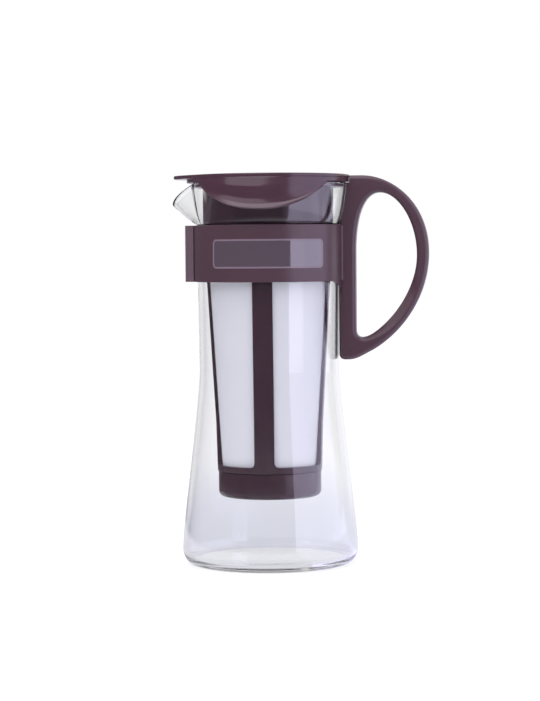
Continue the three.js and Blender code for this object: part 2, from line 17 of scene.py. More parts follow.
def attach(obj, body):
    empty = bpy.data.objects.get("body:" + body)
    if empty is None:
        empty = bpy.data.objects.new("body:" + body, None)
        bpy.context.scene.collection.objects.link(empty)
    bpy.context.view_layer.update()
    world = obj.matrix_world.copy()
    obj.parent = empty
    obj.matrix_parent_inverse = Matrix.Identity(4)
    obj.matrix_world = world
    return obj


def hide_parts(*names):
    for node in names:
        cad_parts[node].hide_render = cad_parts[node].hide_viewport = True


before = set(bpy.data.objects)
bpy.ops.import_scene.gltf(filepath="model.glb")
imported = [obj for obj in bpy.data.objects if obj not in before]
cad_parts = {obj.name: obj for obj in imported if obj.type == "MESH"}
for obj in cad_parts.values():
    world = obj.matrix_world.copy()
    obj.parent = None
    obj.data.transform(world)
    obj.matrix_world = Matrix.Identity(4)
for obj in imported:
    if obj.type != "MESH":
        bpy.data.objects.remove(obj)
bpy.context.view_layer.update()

# %% [markdown]
# ## Sizes
# The sizes repeat the CAD source in metres, under the same names, so every new piece lands on the node
# that it replaces. Only a few are written down. The rest follow from them by named clearances.

# %% Sizes of the jug and the band
MM = 0.001
SEAT_GAP = 0.3 * MM
SLIDE_GAP = 0.4 * MM
EDGE_BREAK = 0.5 * MM
OVERRUN = 5 * MM
BASE_RADIUS = 47 * MM
FOOT_ROUND = 6 * MM
FOOT_HEIGHT = 8 * MM
FLOOR_THICKNESS = 3 * MM
FLOOR_ROUND = 4.8 * MM
WALL = 1.9 * MM
WAIST_HEIGHT = 104 * MM
WAIST_TUCK = 0.5 * MM
BELL_FOOT_PULL = 14 * MM
BELL_WAIST_PULL = 22 * MM
BELL_WAIST_SWELL = 0.8 * MM
BODY_TAPER = 9.1 * MM
NECK_LENGTH = 35.3 * MM
JUG_HEIGHT = 203.1 * MM
MOUTH_HEIGHT = 21.8 * MM
MOUTH_FLARE = 4.7 * MM
FLARE_BEND = 1.7 * MM
FLARE_RISE = 13 * MM
FLARE_LEAN = 1.6 * MM
SPOUT_REACH = 8.7 * MM
SPOUT_SAG = 0.08 * MM
SPOUT_DROP = 11.2 * MM
SPOUT_HALF_ANGLE = math.radians(27)
BAND_HEIGHT = 30 * MM
BAND_THICKNESS = 1.8 * MM
BAND_SPLIT = 1 * MM
ARCH_DROP = 6 * MM
ARCH_START_ANGLE = math.radians(34)
HANDLE_RISE = 3.8 * MM
HANDLE_HEIGHT = 97.7 * MM
HANDLE_DEPTH = 47.7 * MM
HANDLE_WIDTH = 12.6 * MM
HANDLE_EDGE = 2.3 * MM
HANDLE_CORNER = 3 * MM
SPINE_GAP = 0.6 * MM
SPINE_THICKNESS = 8.9 * MM
HANDLE_TOP_BAR = 9.1 * MM
HANDLE_SIDE_BAR = 6.3 * MM
HANDLE_FOOT_BAR = 10.8 * MM
FILLET_RADIUS = 1.5 * MM
END_STEM = 2.2 * MM
END_HEAD_HALF_WIDTH = 4.2 * MM
END_HEAD_THICKNESS = 0.9 * MM
CLIP_WALL = 1.1 * MM
CLIP_HOOK = 1.15 * MM
CLIP_CORNER = 1 * MM
CLIP_FLARE = 6 * MM
CLIP_FLARE_EDGE = 0.4 * MM
CLIP_FLARE_ROOT = 2 * MM
print(f"the jug is {2 * BASE_RADIUS / MM:.0f} mm across and {JUG_HEIGHT / MM:.1f} mm high")

# %% Work out where the jug, band and handle lie
neck_radius = BASE_RADIUS - BODY_TAPER
neck_top = JUG_HEIGHT - MOUTH_HEIGHT
neck_bottom = neck_top - NECK_LENGTH
waist_radius = neck_radius - WAIST_TUCK
mouth_radius = neck_radius + MOUTH_FLARE
band_top = neck_top - SEAT_GAP
band_bottom = band_top - BAND_HEIGHT
band_inner = neck_radius + SLIDE_GAP
band_outer = band_inner + BAND_THICKNESS
band_middle = band_inner + BAND_THICKNESS / 2
spine_inner = waist_radius + SPINE_GAP
spine_outer = spine_inner + SPINE_THICKNESS
handle_top = JUG_HEIGHT + HANDLE_RISE
handle_bottom = handle_top - HANDLE_HEIGHT
handle_reach = spine_inner + HANDLE_DEPTH
end_head_inner = band_outer + SEAT_GAP + CLIP_HOOK + SEAT_GAP
end_head_outer = end_head_inner + END_HEAD_THICKNESS
clip_outer = end_head_outer + SEAT_GAP + CLIP_WALL
clip_half = END_HEAD_HALF_WIDTH + SEAT_GAP + CLIP_WALL
print(f"band {band_bottom / MM:.1f} to {band_top / MM:.1f} mm, handle reaches {handle_reach / MM:.1f} mm")

# %% Sizes of the strainer, cap and lid
CUP_GAP = 1.2 * MM
CUP_WALL = 1.5 * MM
CUP_SHOULDER_DEPTH = 20.1 * MM
CUP_DEPTH = 45.1 * MM
LEDGE_HEIGHT = 4 * MM
STRAINER_TAPER = 6.8 * MM
FLOOR_CLEARANCE = 33.2 * MM
RING_HEIGHT = 3.3 * MM
TAPER_HEIGHT = 26 * MM
TAPER_SWELL = 0.65 * MM
RIB_COUNT = 4
RIB_WIDTH = 10.5 * MM
RIB_THICKNESS_TOP = 1.4 * MM
RIB_THICKNESS_BOTTOM = 2.4 * MM
WINDOW_CORNER = 3 * MM
FLANGE_DROP = 2 * MM
FLANGE_THICKNESS = 1.2 * MM
HANG_WIDTH = 1.2 * MM
HANG_HEIGHT = 1.9 * MM
MESH_THICKNESS = 0.6 * MM
CAP_STEP = 0.5 * MM
CAP_HEIGHT = 13.5 * MM
CAP_FLOOR = 2.2 * MM
CAP_CORNER = 3.2 * MM
CAP_WALL = 2.2 * MM
SPIGOT_WALL = 1.5 * MM
SPIGOT_DEPTH = 8 * MM
LUG_COUNT = 3
LUG_REACH = 1.1 * MM
LUG_HEIGHT = 1.8 * MM
LUG_DEPTH = 3.2 * MM
LUG_HALF_ANGLE = math.radians(5)
TWIST_ANGLE = math.radians(35)
LOCK_SLACK_ANGLE = math.radians(1)
LID_PLATE = 1.9 * MM
LID_BRIM = 0.4 * MM
LID_SKIRT_WALL = 1.4 * MM
LID_HANDLE_GAP = 0.6 * MM
LID_RING_DEPTH = 6 * MM
LID_RING_WALL = 1.4 * MM
BEAK_SHORT = 0.8 * MM
BEAK_TIP_PULL = 8 * MM
BEAK_ROOT_PULL = 21 * MM
BEAK_START_ANGLE = math.radians(140)
LOBE_DEPTH = 14.8 * MM
LOBE_SWELL = 1.9 * MM
LOBE_HALF_ANGLE = math.radians(51)
LIP_FLARE = 2.4 * MM
LIP_HEIGHT = 5.4 * MM
LIP_EDGE = 0.9 * MM
print(f"the strainer has {RIB_COUNT} ribs and {LUG_COUNT} lugs")

# %% Work out where the strainer, cap and lid lie
flange_outer = mouth_radius - WALL - SLIDE_GAP
flange_bottom = JUG_HEIGHT - FLANGE_DROP
flange_top = flange_bottom + FLANGE_THICKNESS
hang_bottom = JUG_HEIGHT + SEAT_GAP
hang_top = hang_bottom + HANG_HEIGHT
hang_outer = flange_outer + HANG_WIDTH
cup_radius = neck_radius - WALL - CUP_GAP
cup_inner = cup_radius - CUP_WALL
cup_shoulder = JUG_HEIGHT - CUP_SHOULDER_DEPTH
cup_bottom = JUG_HEIGHT - CUP_DEPTH
ledge_top = cup_bottom + LEDGE_HEIGHT
ring_bottom = FLOOR_THICKNESS + FLOOR_CLEARANCE + CAP_HEIGHT + SEAT_GAP
ring_radius = cup_radius - STRAINER_TAPER
ring_top = ring_bottom + RING_HEIGHT
ring_ledge = ring_bottom + RING_HEIGHT / 2
taper_z = ring_bottom + TAPER_HEIGHT
cap_radius = ring_radius - CAP_STEP
cap_inner = cap_radius - CAP_WALL
cap_top = ring_bottom - SEAT_GAP
cap_bottom = cap_top - CAP_HEIGHT
spigot_outer = cap_inner - SEAT_GAP
spigot_inner = spigot_outer - SPIGOT_WALL
spigot_bottom = ring_bottom - SPIGOT_DEPTH
lug_outer = spigot_outer + LUG_REACH
lug_top = ring_bottom - LUG_DEPTH
skirt_inner = hang_outer + SLIDE_GAP
skirt_outer = skirt_inner + LID_SKIRT_WALL
skirt_bottom = JUG_HEIGHT + SLIDE_GAP
lid_underside = hang_top + SEAT_GAP
lid_top = lid_underside + LID_PLATE
lid_radius = skirt_outer + LID_BRIM
lobe_inner = mouth_radius + SLIDE_GAP
beak_reach = mouth_radius + SPOUT_REACH - BEAK_SHORT
print(f"strainer {cap_bottom / MM:.1f} to {hang_top / MM:.1f} mm, lid top at {lid_top / MM:.1f} mm")
# %% [markdown]
# ## Camera
# The photograph looks at the pot from about its own height, a little round to the handle's side. The
# camera stands back 1.19 m with a long lens, which keeps the upright lines upright, and the small tilt
# and roll are the photograph's own. It comes first, because each piece is judged through it.

# %% Set up the camera
CAMERA_DISTANCE = 1.189
CAMERA_HEIGHT = 0.1676
CAMERA_AZIMUTH = math.radians(6)
CAMERA_YAW = math.radians(-0.022)
CAMERA_PITCH = math.radians(2.585)
CAMERA_ROLL = math.radians(0.45)
FOCAL_PIXELS = 2222
PICTURE_HEIGHT = 701
SENSOR_HEIGHT = 36
VIEW_END = 50

camera = bpy.data.objects.new("camera", bpy.data.cameras.new("camera"))
bpy.context.scene.collection.objects.link(camera)
camera.data.sensor_fit = "VERTICAL"
camera.data.sensor_height = SENSOR_HEIGHT
camera.data.lens = FOCAL_PIXELS / PICTURE_HEIGHT * camera.data.sensor_height
camera.data.clip_end = VIEW_END
camera.matrix_world = (
    Matrix.Translation((
        CAMERA_DISTANCE * math.sin(CAMERA_AZIMUTH),
        -CAMERA_DISTANCE * math.cos(CAMERA_AZIMUTH),
        CAMERA_HEIGHT,
    ))
    @ Matrix.Rotation(CAMERA_AZIMUTH + CAMERA_YAW, 4, "Z")
    @ Matrix.Rotation(math.pi / 2 - CAMERA_PITCH, 4, "X")
    @ Matrix.Rotation(-CAMERA_ROLL, 4, "Z")
)
bpy.context.scene.camera = camera
bpy.context.scene.view_settings.view_transform = "Standard"
print(f"camera lens {camera.data.lens:.1f} mm")

# %% [markdown]
# ## Nodes
# Blender describes finishes and rule-made shapes alike as nodes that feed each other. Writing each link
# out would bury the recipe, so a few helpers add a node, set its values and join it up in one line.

# %% Helpers for nodes
def add_node(tree, kind, links=None, **settings):
    """Adds a node. Settings are values or properties by name, and links are sources by input."""
    node = tree.nodes.new(kind)
    for name, value in settings.items():
        if name in node.inputs:
            node.inputs[name].default_value = value
        else:
            setattr(node, name, value)
    for name, source in (links or {}).items():
        tree.links.new(source, node.inputs[name])
    return node


def plug(tree, node, *sources):
    """Sets or links the node's inputs in their order and returns its first output."""
    for socket, source in zip(node.inputs, sources):
        if isinstance(source, (int, float, tuple)):
            socket.default_value = source
        else:
            tree.links.new(source, socket)
    return node.outputs[0]


def number_node(tree, operation, *sources):
    return plug(tree, add_node(tree, "ShaderNodeMath", operation=operation), *sources)


def remap(tree, source, from_low, from_high, to_low=0, to_high=1, shape="LINEAR"):
    node = add_node(tree, "ShaderNodeMapRange", interpolation_type=shape)
    return plug(tree, node, source, from_low, from_high, to_low, to_high)


print("helpers for nodes:", add_node.__name__, plug.__name__, number_node.__name__, remap.__name__)

# %% [markdown]
# ## Moulded brown plastic
# The dark parts are injection moulded, so their colour goes right through, and the steel of the mould
# gives them an even, satin gloss. A real moulding is never quite flat: slow sink waves bend its
# reflections a little, and a fine grain softens them. Both come from noise on Object coordinates, which
# are in metres here, so a scale is simply one over the size of the feature.

# %% Helpers for finishes
NOISE_RANGE = (0.3, 0.7)


def noise(tree, size, detail):
    place = add_node(tree, "ShaderNodeTexCoord").outputs["Object"]
    node = add_node(tree, "ShaderNodeTexNoise", {"Vector": place}, Scale=1 / size, Detail=detail)
    return node.outputs["Fac"]


def blend_colors(tree, source, first, second):
    node = add_node(tree, "ShaderNodeMix", {0: source}, data_type="RGBA")
    sockets = [socket for socket in node.inputs if socket.type == "RGBA"]
    for color, socket in zip((first, second), sockets):
        if isinstance(color, tuple):
            socket.default_value = (*color, 1)
        else:
            tree.links.new(color, socket)
    return next(output for output in node.outputs if output.type == "RGBA")


def bump(tree, source, depth, strength, below=None):
    links = {"Height": source, "Normal": below} if below else {"Height": source}
    return add_node(tree, "ShaderNodeBump", links, Distance=depth, Strength=strength).outputs["Normal"]


print("noise is spread from", NOISE_RANGE)


# %% Helpers that mix a finish
def finish(name, sockets, mix):
    """A material whose tint, gloss and relief are mixed in nodes. What is even is set on its sockets."""
    material = bpy.data.materials.new(name)
    material.use_nodes = True
    tree = material.node_tree
    shader = tree.nodes["Principled BSDF"]
    for socket, value in sockets.items():
        shader.inputs[socket].default_value = value
    for socket, source in zip(("Base Color", "Roughness", "Normal"), mix(tree)):
        tree.links.new(source, shader.inputs[socket])
    return material


def clouded_finish(name, tints, clouds, gloss, patches, reliefs, **sockets):
    """Clouds and patches are (size, detail). A relief is (size, detail, depth, strength)."""
    def mix(tree):
        normal = None
        for size, detail, depth, strength in reliefs:
            normal = bump(tree, noise(tree, size, detail), depth, strength, normal)
        tint = blend_colors(tree, noise(tree, *clouds), *tints)
        return tint, remap(tree, noise(tree, *patches), *NOISE_RANGE, *gloss), normal
    return finish(name, {socket.replace("_", " "): value for socket, value in sockets.items()}, mix)


def shades(color, dark, pale=1):
    return [tuple(share * channel for channel in color) for share in (dark, pale)]


print("a brown in two shades:", shades((0.06, 0.03, 0.04), 0.9))

# %% Mix the plastics
BROWN = (0.057, 0.028, 0.040)
CLIP_BROWN = (0.105, 0.070, 0.088)
LID_BROWN = (0.050, 0.023, 0.034)
SATIN_GLOSS = (0.29, 0.36)
STRAINER_GLOSS = (0.16, 0.24)
LID_GLOSS = (0.14, 0.22)
SINK_WAVES = (18 * MM, 1, 0.06 * MM, 0.6)
COARSE_GRAIN = (0.4 * MM, 2, 0.012 * MM, 0.5)
FINE_GRAIN = (0.4 * MM, 2, 0.006 * MM, 0.5)
PLASTIC_SHADES = (0.9, 1.12)
PLASTIC_CLOUDS = (35 * MM, 2)
PLASTIC_PATCHES = (6 * MM, 3)
PLASTIC_IOR = 1.5


def moulded_plastic(name, color, gloss, grain):
    return clouded_finish(name, shades(color, *PLASTIC_SHADES), PLASTIC_CLOUDS, gloss, PLASTIC_PATCHES,
                          [SINK_WAVES, grain], IOR=PLASTIC_IOR)


handle_plastic = moulded_plastic("handle_plastic", BROWN, SATIN_GLOSS, COARSE_GRAIN)
strainer_plastic = moulded_plastic("strainer_plastic", BROWN, STRAINER_GLOSS, FINE_GRAIN)
lid_plastic = moulded_plastic("lid_plastic", LID_BROWN, LID_GLOSS, FINE_GRAIN)
clip_plastic = moulded_plastic("clip_plastic", CLIP_BROWN, SATIN_GLOSS, COARSE_GRAIN)
print("plastics:", handle_plastic.name, strainer_plastic.name, lid_plastic.name, clip_plastic.name)

# %% [markdown]
# ## Blown borosilicate glass
# The jug is clear. What makes it visible is its edges, where light runs a long way inside the wall, so
# the shader is plain refracting glass with a breath of cool colour. Blown glass also has slow waves.

# %% Mix the glass
GLASS_TINTS = ((0.972, 0.975, 0.984), (0.985, 0.987, 0.992))
GLASS_GLOSS = (0, 0.012)
GLASS_CLOUDS = (50 * MM, 1)
GLASS_PATCHES = (20 * MM, 2)
GLASS_WAVES = (30 * MM, 1, 0.05 * MM, 0.15)
GLASS_IOR = 1.47
jug_glass = clouded_finish("jug_glass", GLASS_TINTS, GLASS_CLOUDS, GLASS_GLOSS, GLASS_PATCHES, [GLASS_WAVES],
                           IOR=GLASS_IOR, Transmission_Weight=1)
print("glass finish:", jug_glass.name)

# %% [markdown]
# ## Filter cloth
# The filter is a fine white polyester weave. Single threads are about a third of a millimetre apart and
# hardly show, but they scatter the light, so that the cloth glows softly and hides what is behind it.
# Two wave textures at right angles make warp and weft. They follow the piece's own UV map, which counts
# in metres round the tube and up it. A wave texture of scale 1 repeats every 0.314 units.

# %% Mix the cloth
THREAD_PITCH = 0.34 * MM
WAVE_LENGTH = 0.314
CLOTH_TINTS = ((0.87, 0.88, 0.92), (0.95, 0.95, 0.98))
CLOTH_GLOSS = (0.62, 0.8)
CLOTH_PATCHES = (4 * MM, 3)
CLOTH_SHINE = 0.25
WEAVE_DEPTH, WEAVE_STRENGTH = 0.08 * MM, 0.4


def woven(tree):
    uv = add_node(tree, "ShaderNodeUVMap", uv_map="cloth").outputs["UV"]
    threads = [add_node(tree, "ShaderNodeTexWave", {"Vector": uv}, bands_direction=direction,
                        Scale=WAVE_LENGTH / THREAD_PITCH).outputs["Fac"] for direction in "XY"]
    weave = number_node(tree, "MULTIPLY", *threads)
    gloss = remap(tree, noise(tree, *CLOTH_PATCHES), *NOISE_RANGE, *CLOTH_GLOSS)
    return blend_colors(tree, weave, *CLOTH_TINTS), gloss, bump(tree, weave, WEAVE_DEPTH, WEAVE_STRENGTH)


filter_cloth = finish("filter_cloth", {"Specular IOR Level": CLOTH_SHINE, "Transmission Weight": 0}, woven)
print("thread pitch", THREAD_PITCH / MM, "mm")

# %% [markdown]
# ## Turned bodies
# Jug, band, strainer frame and cap are all turned shapes: one profile swept round the axis. Blender's
# Screw modifier could do it. A node tree is used here, because it can also pull the spout out of the
# jug's mouth with the same rule as the CAD source. It takes a row of profile points, lays a grid with
# one column for each step round, and moves each grid point to its place. Where the profile meets the
# axis or itself, the doubled points are merged, so that the body is closed.

# %% Helpers for shapes made by nodes
def new_tree(name, inputs):
    tree = bpy.data.node_groups.new(name, "GeometryNodeTree")
    tree.interface.new_socket("Geometry", in_out="INPUT", socket_type="NodeSocketGeometry")
    for label, kind in inputs.items():
        tree.interface.new_socket(label, in_out="INPUT", socket_type="NodeSocket" + kind)
    tree.interface.new_socket("Geometry", in_out="OUTPUT", socket_type="NodeSocketGeometry")
    return tree, tree.nodes.new("NodeGroupInput").outputs, tree.nodes.new("NodeGroupOutput")


def finish_tree(tree, geometry, material, end):
    for kind in ("GeometryNodeSetShadeSmooth", "GeometryNodeRealizeInstances", "GeometryNodeSetMaterial"):
        node = add_node(tree, kind, {0: geometry})
        geometry = node.outputs[0]
    tree.links.new(material, node.inputs["Material"])
    tree.links.new(geometry, end.inputs[0])
    print(f"{tree.name} tree: {len(tree.nodes)} nodes")


def link_mesh(name, mesh):
    obj = bpy.data.objects.new(name, mesh)
    bpy.context.scene.collection.objects.link(obj)
    return obj


def apply_stack(obj):
    """Turns what the modifiers make into the object's own plain mesh."""
    bpy.context.view_layer.update()
    graph = bpy.context.evaluated_depsgraph_get()
    mesh = bpy.data.meshes.new_from_object(obj.evaluated_get(graph))
    obj.modifiers.clear()
    obj.data = mesh
    return obj


def run_tree(obj, tree, **values):
    """Sets the tree's inputs by name and runs it once on the object."""
    modifier = obj.modifiers.new("build", "NODES")
    modifier.node_group = tree
    for item in tree.interface.items_tree:
        key = item.name.lower().replace(" ", "_")
        if item.in_out == "INPUT" and key in values:
            modifier[item.identifier] = values[key]
    return apply_stack(obj)


# %% Lay the grid and read the profile
SPOUT_CREASE = 1.15
MERGE_DISTANCE = 0.001 * MM
turning, given, end = new_tree("turned_body", {
    "Profile points": "Int", "Round steps": "Int", "Spout foot": "Float", "Spout top": "Float",
    "Spout reach": "Float", "Spout drop": "Float", "Spout half angle": "Float", "Material": "Material",
})
calc = partial(number_node, turning)
columns = calc("ADD", given["Round steps"], 1)
grid = add_node(turning, "GeometryNodeMeshGrid",
                {"Vertices X": given["Profile points"], "Vertices Y": columns})
index = add_node(turning, "GeometryNodeInputIndex").outputs[0]
row = calc("FLOOR", calc("DIVIDE", calc("ADD", index, 0.5), columns))
column = calc("SUBTRACT", index, calc("MULTIPLY", row, columns))
position = add_node(turning, "GeometryNodeInputPosition").outputs[0]
sample = add_node(turning, "GeometryNodeSampleIndex",
                  {"Geometry": given["Geometry"], "Value": position, "Index": row}, data_type="FLOAT_VECTOR")
profile_point = add_node(turning, "ShaderNodeSeparateXYZ", {0: sample.outputs[0]}).outputs
radius, height = profile_point["X"], profile_point["Z"]
angle = calc("MULTIPLY", calc("DIVIDE", column, given["Round steps"]), 2 * math.pi)
print("the grid knows its row and column")

# %% Pull the spout and place the points
# Each point near the spout's middle is pulled outward and down, most at the rim
from_spout = calc("MINIMUM", angle, calc("SUBTRACT", 2 * math.pi, angle))
turn = calc("MINIMUM", calc("DIVIDE", from_spout, given["Spout half angle"]), 1)
pull = calc("POWER", calc("COSINE", calc("MULTIPLY", turn, math.pi / 2)), SPOUT_CREASE)
spout_height = calc("SUBTRACT", given["Spout top"], given["Spout foot"])
rise = calc("MAXIMUM", calc("DIVIDE", calc("SUBTRACT", height, given["Spout foot"]), spout_height), 0)
swing = calc("SINE", calc("MULTIPLY", pull, math.pi / 2))
outward = calc("MULTIPLY", calc("MULTIPLY", swing, rise), given["Spout reach"])
downward = calc("MULTIPLY", calc("MULTIPLY", pull, rise), given["Spout drop"])
reach = calc("ADD", radius, outward)
place = add_node(turning, "ShaderNodeCombineXYZ", {
    "X": calc("MULTIPLY", calc("MULTIPLY", reach, -1), calc("COSINE", angle)),
    "Y": calc("MULTIPLY", reach, calc("SINE", angle)),
    "Z": calc("SUBTRACT", height, downward),
}).outputs[0]
move = add_node(turning, "GeometryNodeSetPosition", {"Geometry": grid.outputs[0], "Position": place})
merge = add_node(turning, "GeometryNodeMergeByDistance", {"Geometry": move.outputs[0]},
                 Distance=MERGE_DISTANCE)
finish_tree(turning, merge.outputs[0], given["Material"], end)

# %% [markdown]
# ## Profiles
# Every profile is a row of (radius, height) points going up the outside and back down the inside, so
# that the faces point outward. Sharp corners never look real, because no mould or blown edge has them.
# So a helper rounds the corners: each gets a small arc between its two sides.

# %% Helpers for curves
def bezier(a, b, c, d, steps):
    points = []
    for i in range(steps + 1):
        t = i / steps
        s = 1 - t
        weights = (s**3, 3 * s * s * t, 3 * s * t * t, t**3)
        points.append(tuple(sum(w * p[k] for w, p in zip(weights, (a, b, c, d))) for k in (0, 1)))
    return points


def bend(start, pull, stop, steps):
    """A curve from start to stop that leans toward pull."""
    return [tuple((1 - t) ** 2 * a + 2 * t * (1 - t) * b + t * t * c for a, b, c in zip(start, pull, stop))
            for t in (k / steps for k in range(steps + 1))]


def arc(center, radius, start, stop, steps):
    turns = [start + (stop - start) * i / steps for i in range(steps + 1)]
    return [(center[0] + radius * math.cos(t), center[1] + radius * math.sin(t)) for t in turns]


print("a quarter turn in two steps:", arc((0, 0), 1, 0, math.pi / 2, 2))

# %% Helper that rounds the corners
CORNER_SHARE = 0.45
FLATTEST_CORNER = math.radians(165)
SHARPEST_CORNER = 0.05
NEAR_ZERO = 1e-7
FEW_STEPS = 3


def rounded(points, radius, steps=4, closed=True):
    """Rounds each corner of a row of points. An arc takes less than half of the shorter side."""
    out = []
    count = len(points)
    for i, point in enumerate(points):
        if not closed and i in (0, count - 1):
            out.append(point)
            continue
        here = Vector(point)
        before = Vector(points[i - 1]) - here
        after = Vector(points[(i + 1) % count]) - here
        corner = before.angle(after, math.pi)
        cut = min(radius / math.tan(max(corner, SHARPEST_CORNER) / 2),
                  before.length * CORNER_SHARE, after.length * CORNER_SHARE)
        if corner > FLATTEST_CORNER or cut < NEAR_ZERO:
            out.append(point)
            continue
        a, c = here + before.normalized() * cut, here + after.normalized() * cut
        for k in range(steps + 1):
            t = k / steps
            out.append(tuple(a * (1 - t) ** 2 + here * 2 * t * (1 - t) + c * t**2))
    return out


print("a rounded square has", len(rounded([(0, 0), (1, 0), (1, 1), (0, 1)], MM, FEW_STEPS)), "points")

# %% Helper that turns a profile
ROUND_STEPS = 240
NO_SPOUT = {"spout_foot": 0.0, "spout_top": 1.0, "spout_reach": 0.0, "spout_drop": 0.0,
            "spout_half_angle": 1.0}


def turned(name, profile, material, **spout):
    """Turns a profile into a closed body. A profile away from the axis is closed on itself."""
    if profile[0][0] > NEAR_ZERO:
        profile = [*profile, profile[0]]
    line = bpy.data.meshes.new(name)
    line.from_pydata([(r, 0, z) for r, z in profile], [], [])
    return run_tree(link_mesh(name, line), turning, profile_points=len(profile), round_steps=ROUND_STEPS,
                    material=material, **{**NO_SPOUT, **spout})


print("one step round is", math.degrees(2 * math.pi / ROUND_STEPS), "degrees")

# %% [markdown]
# ## Glass jug
# The jug is blown into a mould: a bell that narrows to a straight neck, a flared mouth, and a spout
# pulled out while the rim is hot. The rim is fire polished to a round bead. The profile is the CAD
# source's own, with many more steps, because glass shows every facet in its reflections. Only the inner
# corner of the floor is tighter, and the spout has a crease at its root. That crease would push the tip a
# hair past the CAD source's, so its reach is shortened by the sag.

# %% Turn the jug
JUG_STEPS = 32
BEAD_STEPS = 12


def jug_wall(grow, steps):
    bell = bezier(
        (BASE_RADIUS + grow, FOOT_HEIGHT),
        (BASE_RADIUS + grow, FOOT_HEIGHT + BELL_FOOT_PULL),
        (waist_radius + BELL_WAIST_SWELL + grow, WAIST_HEIGHT - BELL_WAIST_PULL),
        (waist_radius + grow, WAIST_HEIGHT), steps)
    flare = bezier(
        (neck_radius + grow, neck_top),
        (neck_radius + FLARE_BEND + grow, neck_top + FLARE_BEND),
        (mouth_radius - FLARE_LEAN + grow, JUG_HEIGHT - WALL - FLARE_RISE),
        (mouth_radius + grow, JUG_HEIGHT - WALL), steps // 2)
    return [*bell, (neck_radius + grow, neck_bottom), *flare]


def declare(obj, body, slot_name, *nodes):
    """Tells the frame which body carries the piece and hides the nodes that it replaces. The slot name is not
    used.
    """
    if nodes:
        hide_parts(*nodes)
    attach(obj, body)
    print(f"{obj.name}: {len(obj.data.polygons)} faces on {body}")


foot = bezier((BASE_RADIUS - FOOT_ROUND, 0), (BASE_RADIUS - FOOT_ROUND / 2, 0),
              (BASE_RADIUS, FOOT_HEIGHT / 2), (BASE_RADIUS, FOOT_HEIGHT), JUG_STEPS // 2)
inner_foot = bezier((BASE_RADIUS - WALL, FLOOR_THICKNESS + FLOOR_ROUND),
                    (BASE_RADIUS - WALL, FLOOR_THICKNESS + WALL),
                    (BASE_RADIUS - 2 * WALL, FLOOR_THICKNESS),
                    (BASE_RADIUS - FOOT_ROUND, FLOOR_THICKNESS), JUG_STEPS // 2)
bead = arc((mouth_radius - WALL / 2, JUG_HEIGHT - WALL / 2), WALL / 2, 0, math.pi, BEAD_STEPS)
jug_profile = [
    (0, 0), *foot, *jug_wall(0, JUG_STEPS)[1:], *bead,
    *reversed(jug_wall(-WALL, JUG_STEPS)[1:]), *inner_foot, (0, FLOOR_THICKNESS),
]
jug = turned("jug_glass_body", jug_profile, jug_glass, spout_foot=neck_top, spout_top=JUG_HEIGHT,
             spout_reach=SPOUT_REACH - SPOUT_SAG, spout_drop=SPOUT_DROP, spout_half_angle=SPOUT_HALF_ANGLE)
declare(jug, "jug", "glass", "glass_jug")

# %% [markdown]
# ## Neck band
# The band is the dark ring below the flare, split under the spout so that it can spring open. It is
# turned like the jug, with softened edges. On the handle's side its lower edge sweeps down into the
# handle's spine, so a second, deeper ring is turned and kept only inside an arch-shaped cutter.

# %% Helpers for solids from rows of points
DOUBLES = 0.0001 * MM


def solid(name, verts, faces):
    mesh = bpy.data.meshes.new(name)
    mesh.from_pydata(verts, [], faces)
    shell = bmesh.new()
    shell.from_mesh(mesh)
    bmesh.ops.remove_doubles(shell, verts=shell.verts, dist=DOUBLES)
    bmesh.ops.recalc_face_normals(shell, faces=shell.faces)
    shell.to_mesh(mesh)
    shell.free()
    return link_mesh(name, mesh)


def skin(rows, count, first=0, wrap=False):
    """Quads between rows of points that close on themselves. With wrap the last row meets the first."""
    faces = []
    for r in range(rows if wrap else rows - 1):
        up = ((r + 1) % rows - r) * count
        for i in range(count):
            a, b = first + r * count + i, first + r * count + (i + 1) % count
            faces.append((a, b, b + up, a + up))
    return faces


def stacked(name, rows):
    """A solid whose rows of points close on themselves, with one flat face at each end."""
    count = len(rows[0])
    last = (len(rows) - 1) * count
    ends = [tuple(range(count)), tuple(range(last, last + count))]
    return solid(name, [point for row in rows for point in row], skin(len(rows), count) + ends)


def prism(name, outline, low, high, axis="Z"):
    """A straight block with an outline in the XY plane, or in the XZ plane where axis is Y."""
    turn = (lambda p, h: (p[0], p[1], h)) if axis == "Z" else (lambda p, h: (p[0], h, p[1]))
    return stacked(name, [[turn(point, h) for point in outline] for h in (low, high)])


print("two rows of four points have", len(skin(2, 4)), "faces between them")

# %% Helpers that join, cut and finish a piece
SMOOTH_ANGLE = math.radians(32)


def combine(target, others, operation):
    for other in others:
        cut = target.modifiers.new(operation, "BOOLEAN")
        cut.operation = operation
        cut.solver = "EXACT"
        cut.object = other
    apply_stack(target)
    for other in others:
        bpy.data.objects.remove(other)
    print(f"{target.name}: {operation.lower()} with {len(others)} more")


def shade(mesh, *materials):
    """Gives the mesh its materials and smooths it, but for its creases."""
    mesh.materials.clear()
    for material in materials:
        mesh.materials.append(material)
    mesh.shade_smooth()
    mesh.set_sharp_from_angle(angle=SMOOTH_ANGLE)


def dress(obj, material, body, slot_name, *nodes):
    for polygon in obj.data.polygons:
        polygon.material_index = 0
    shade(obj.data, material)
    declare(obj, body, slot_name, *nodes)


print(f"edges over {math.degrees(SMOOTH_ANGLE):.0f} degrees stay crisp")

# %% Turn the band and its arch
ARCH_STEPS = 24
BAND_EDGE_STEPS = 5


def band_profile(bottom, top):
    corners = [(band_inner, bottom), (band_outer, bottom), (band_outer, top), (band_inner, top)]
    return rounded(corners, EDGE_BREAK, BAND_EDGE_STEPS)


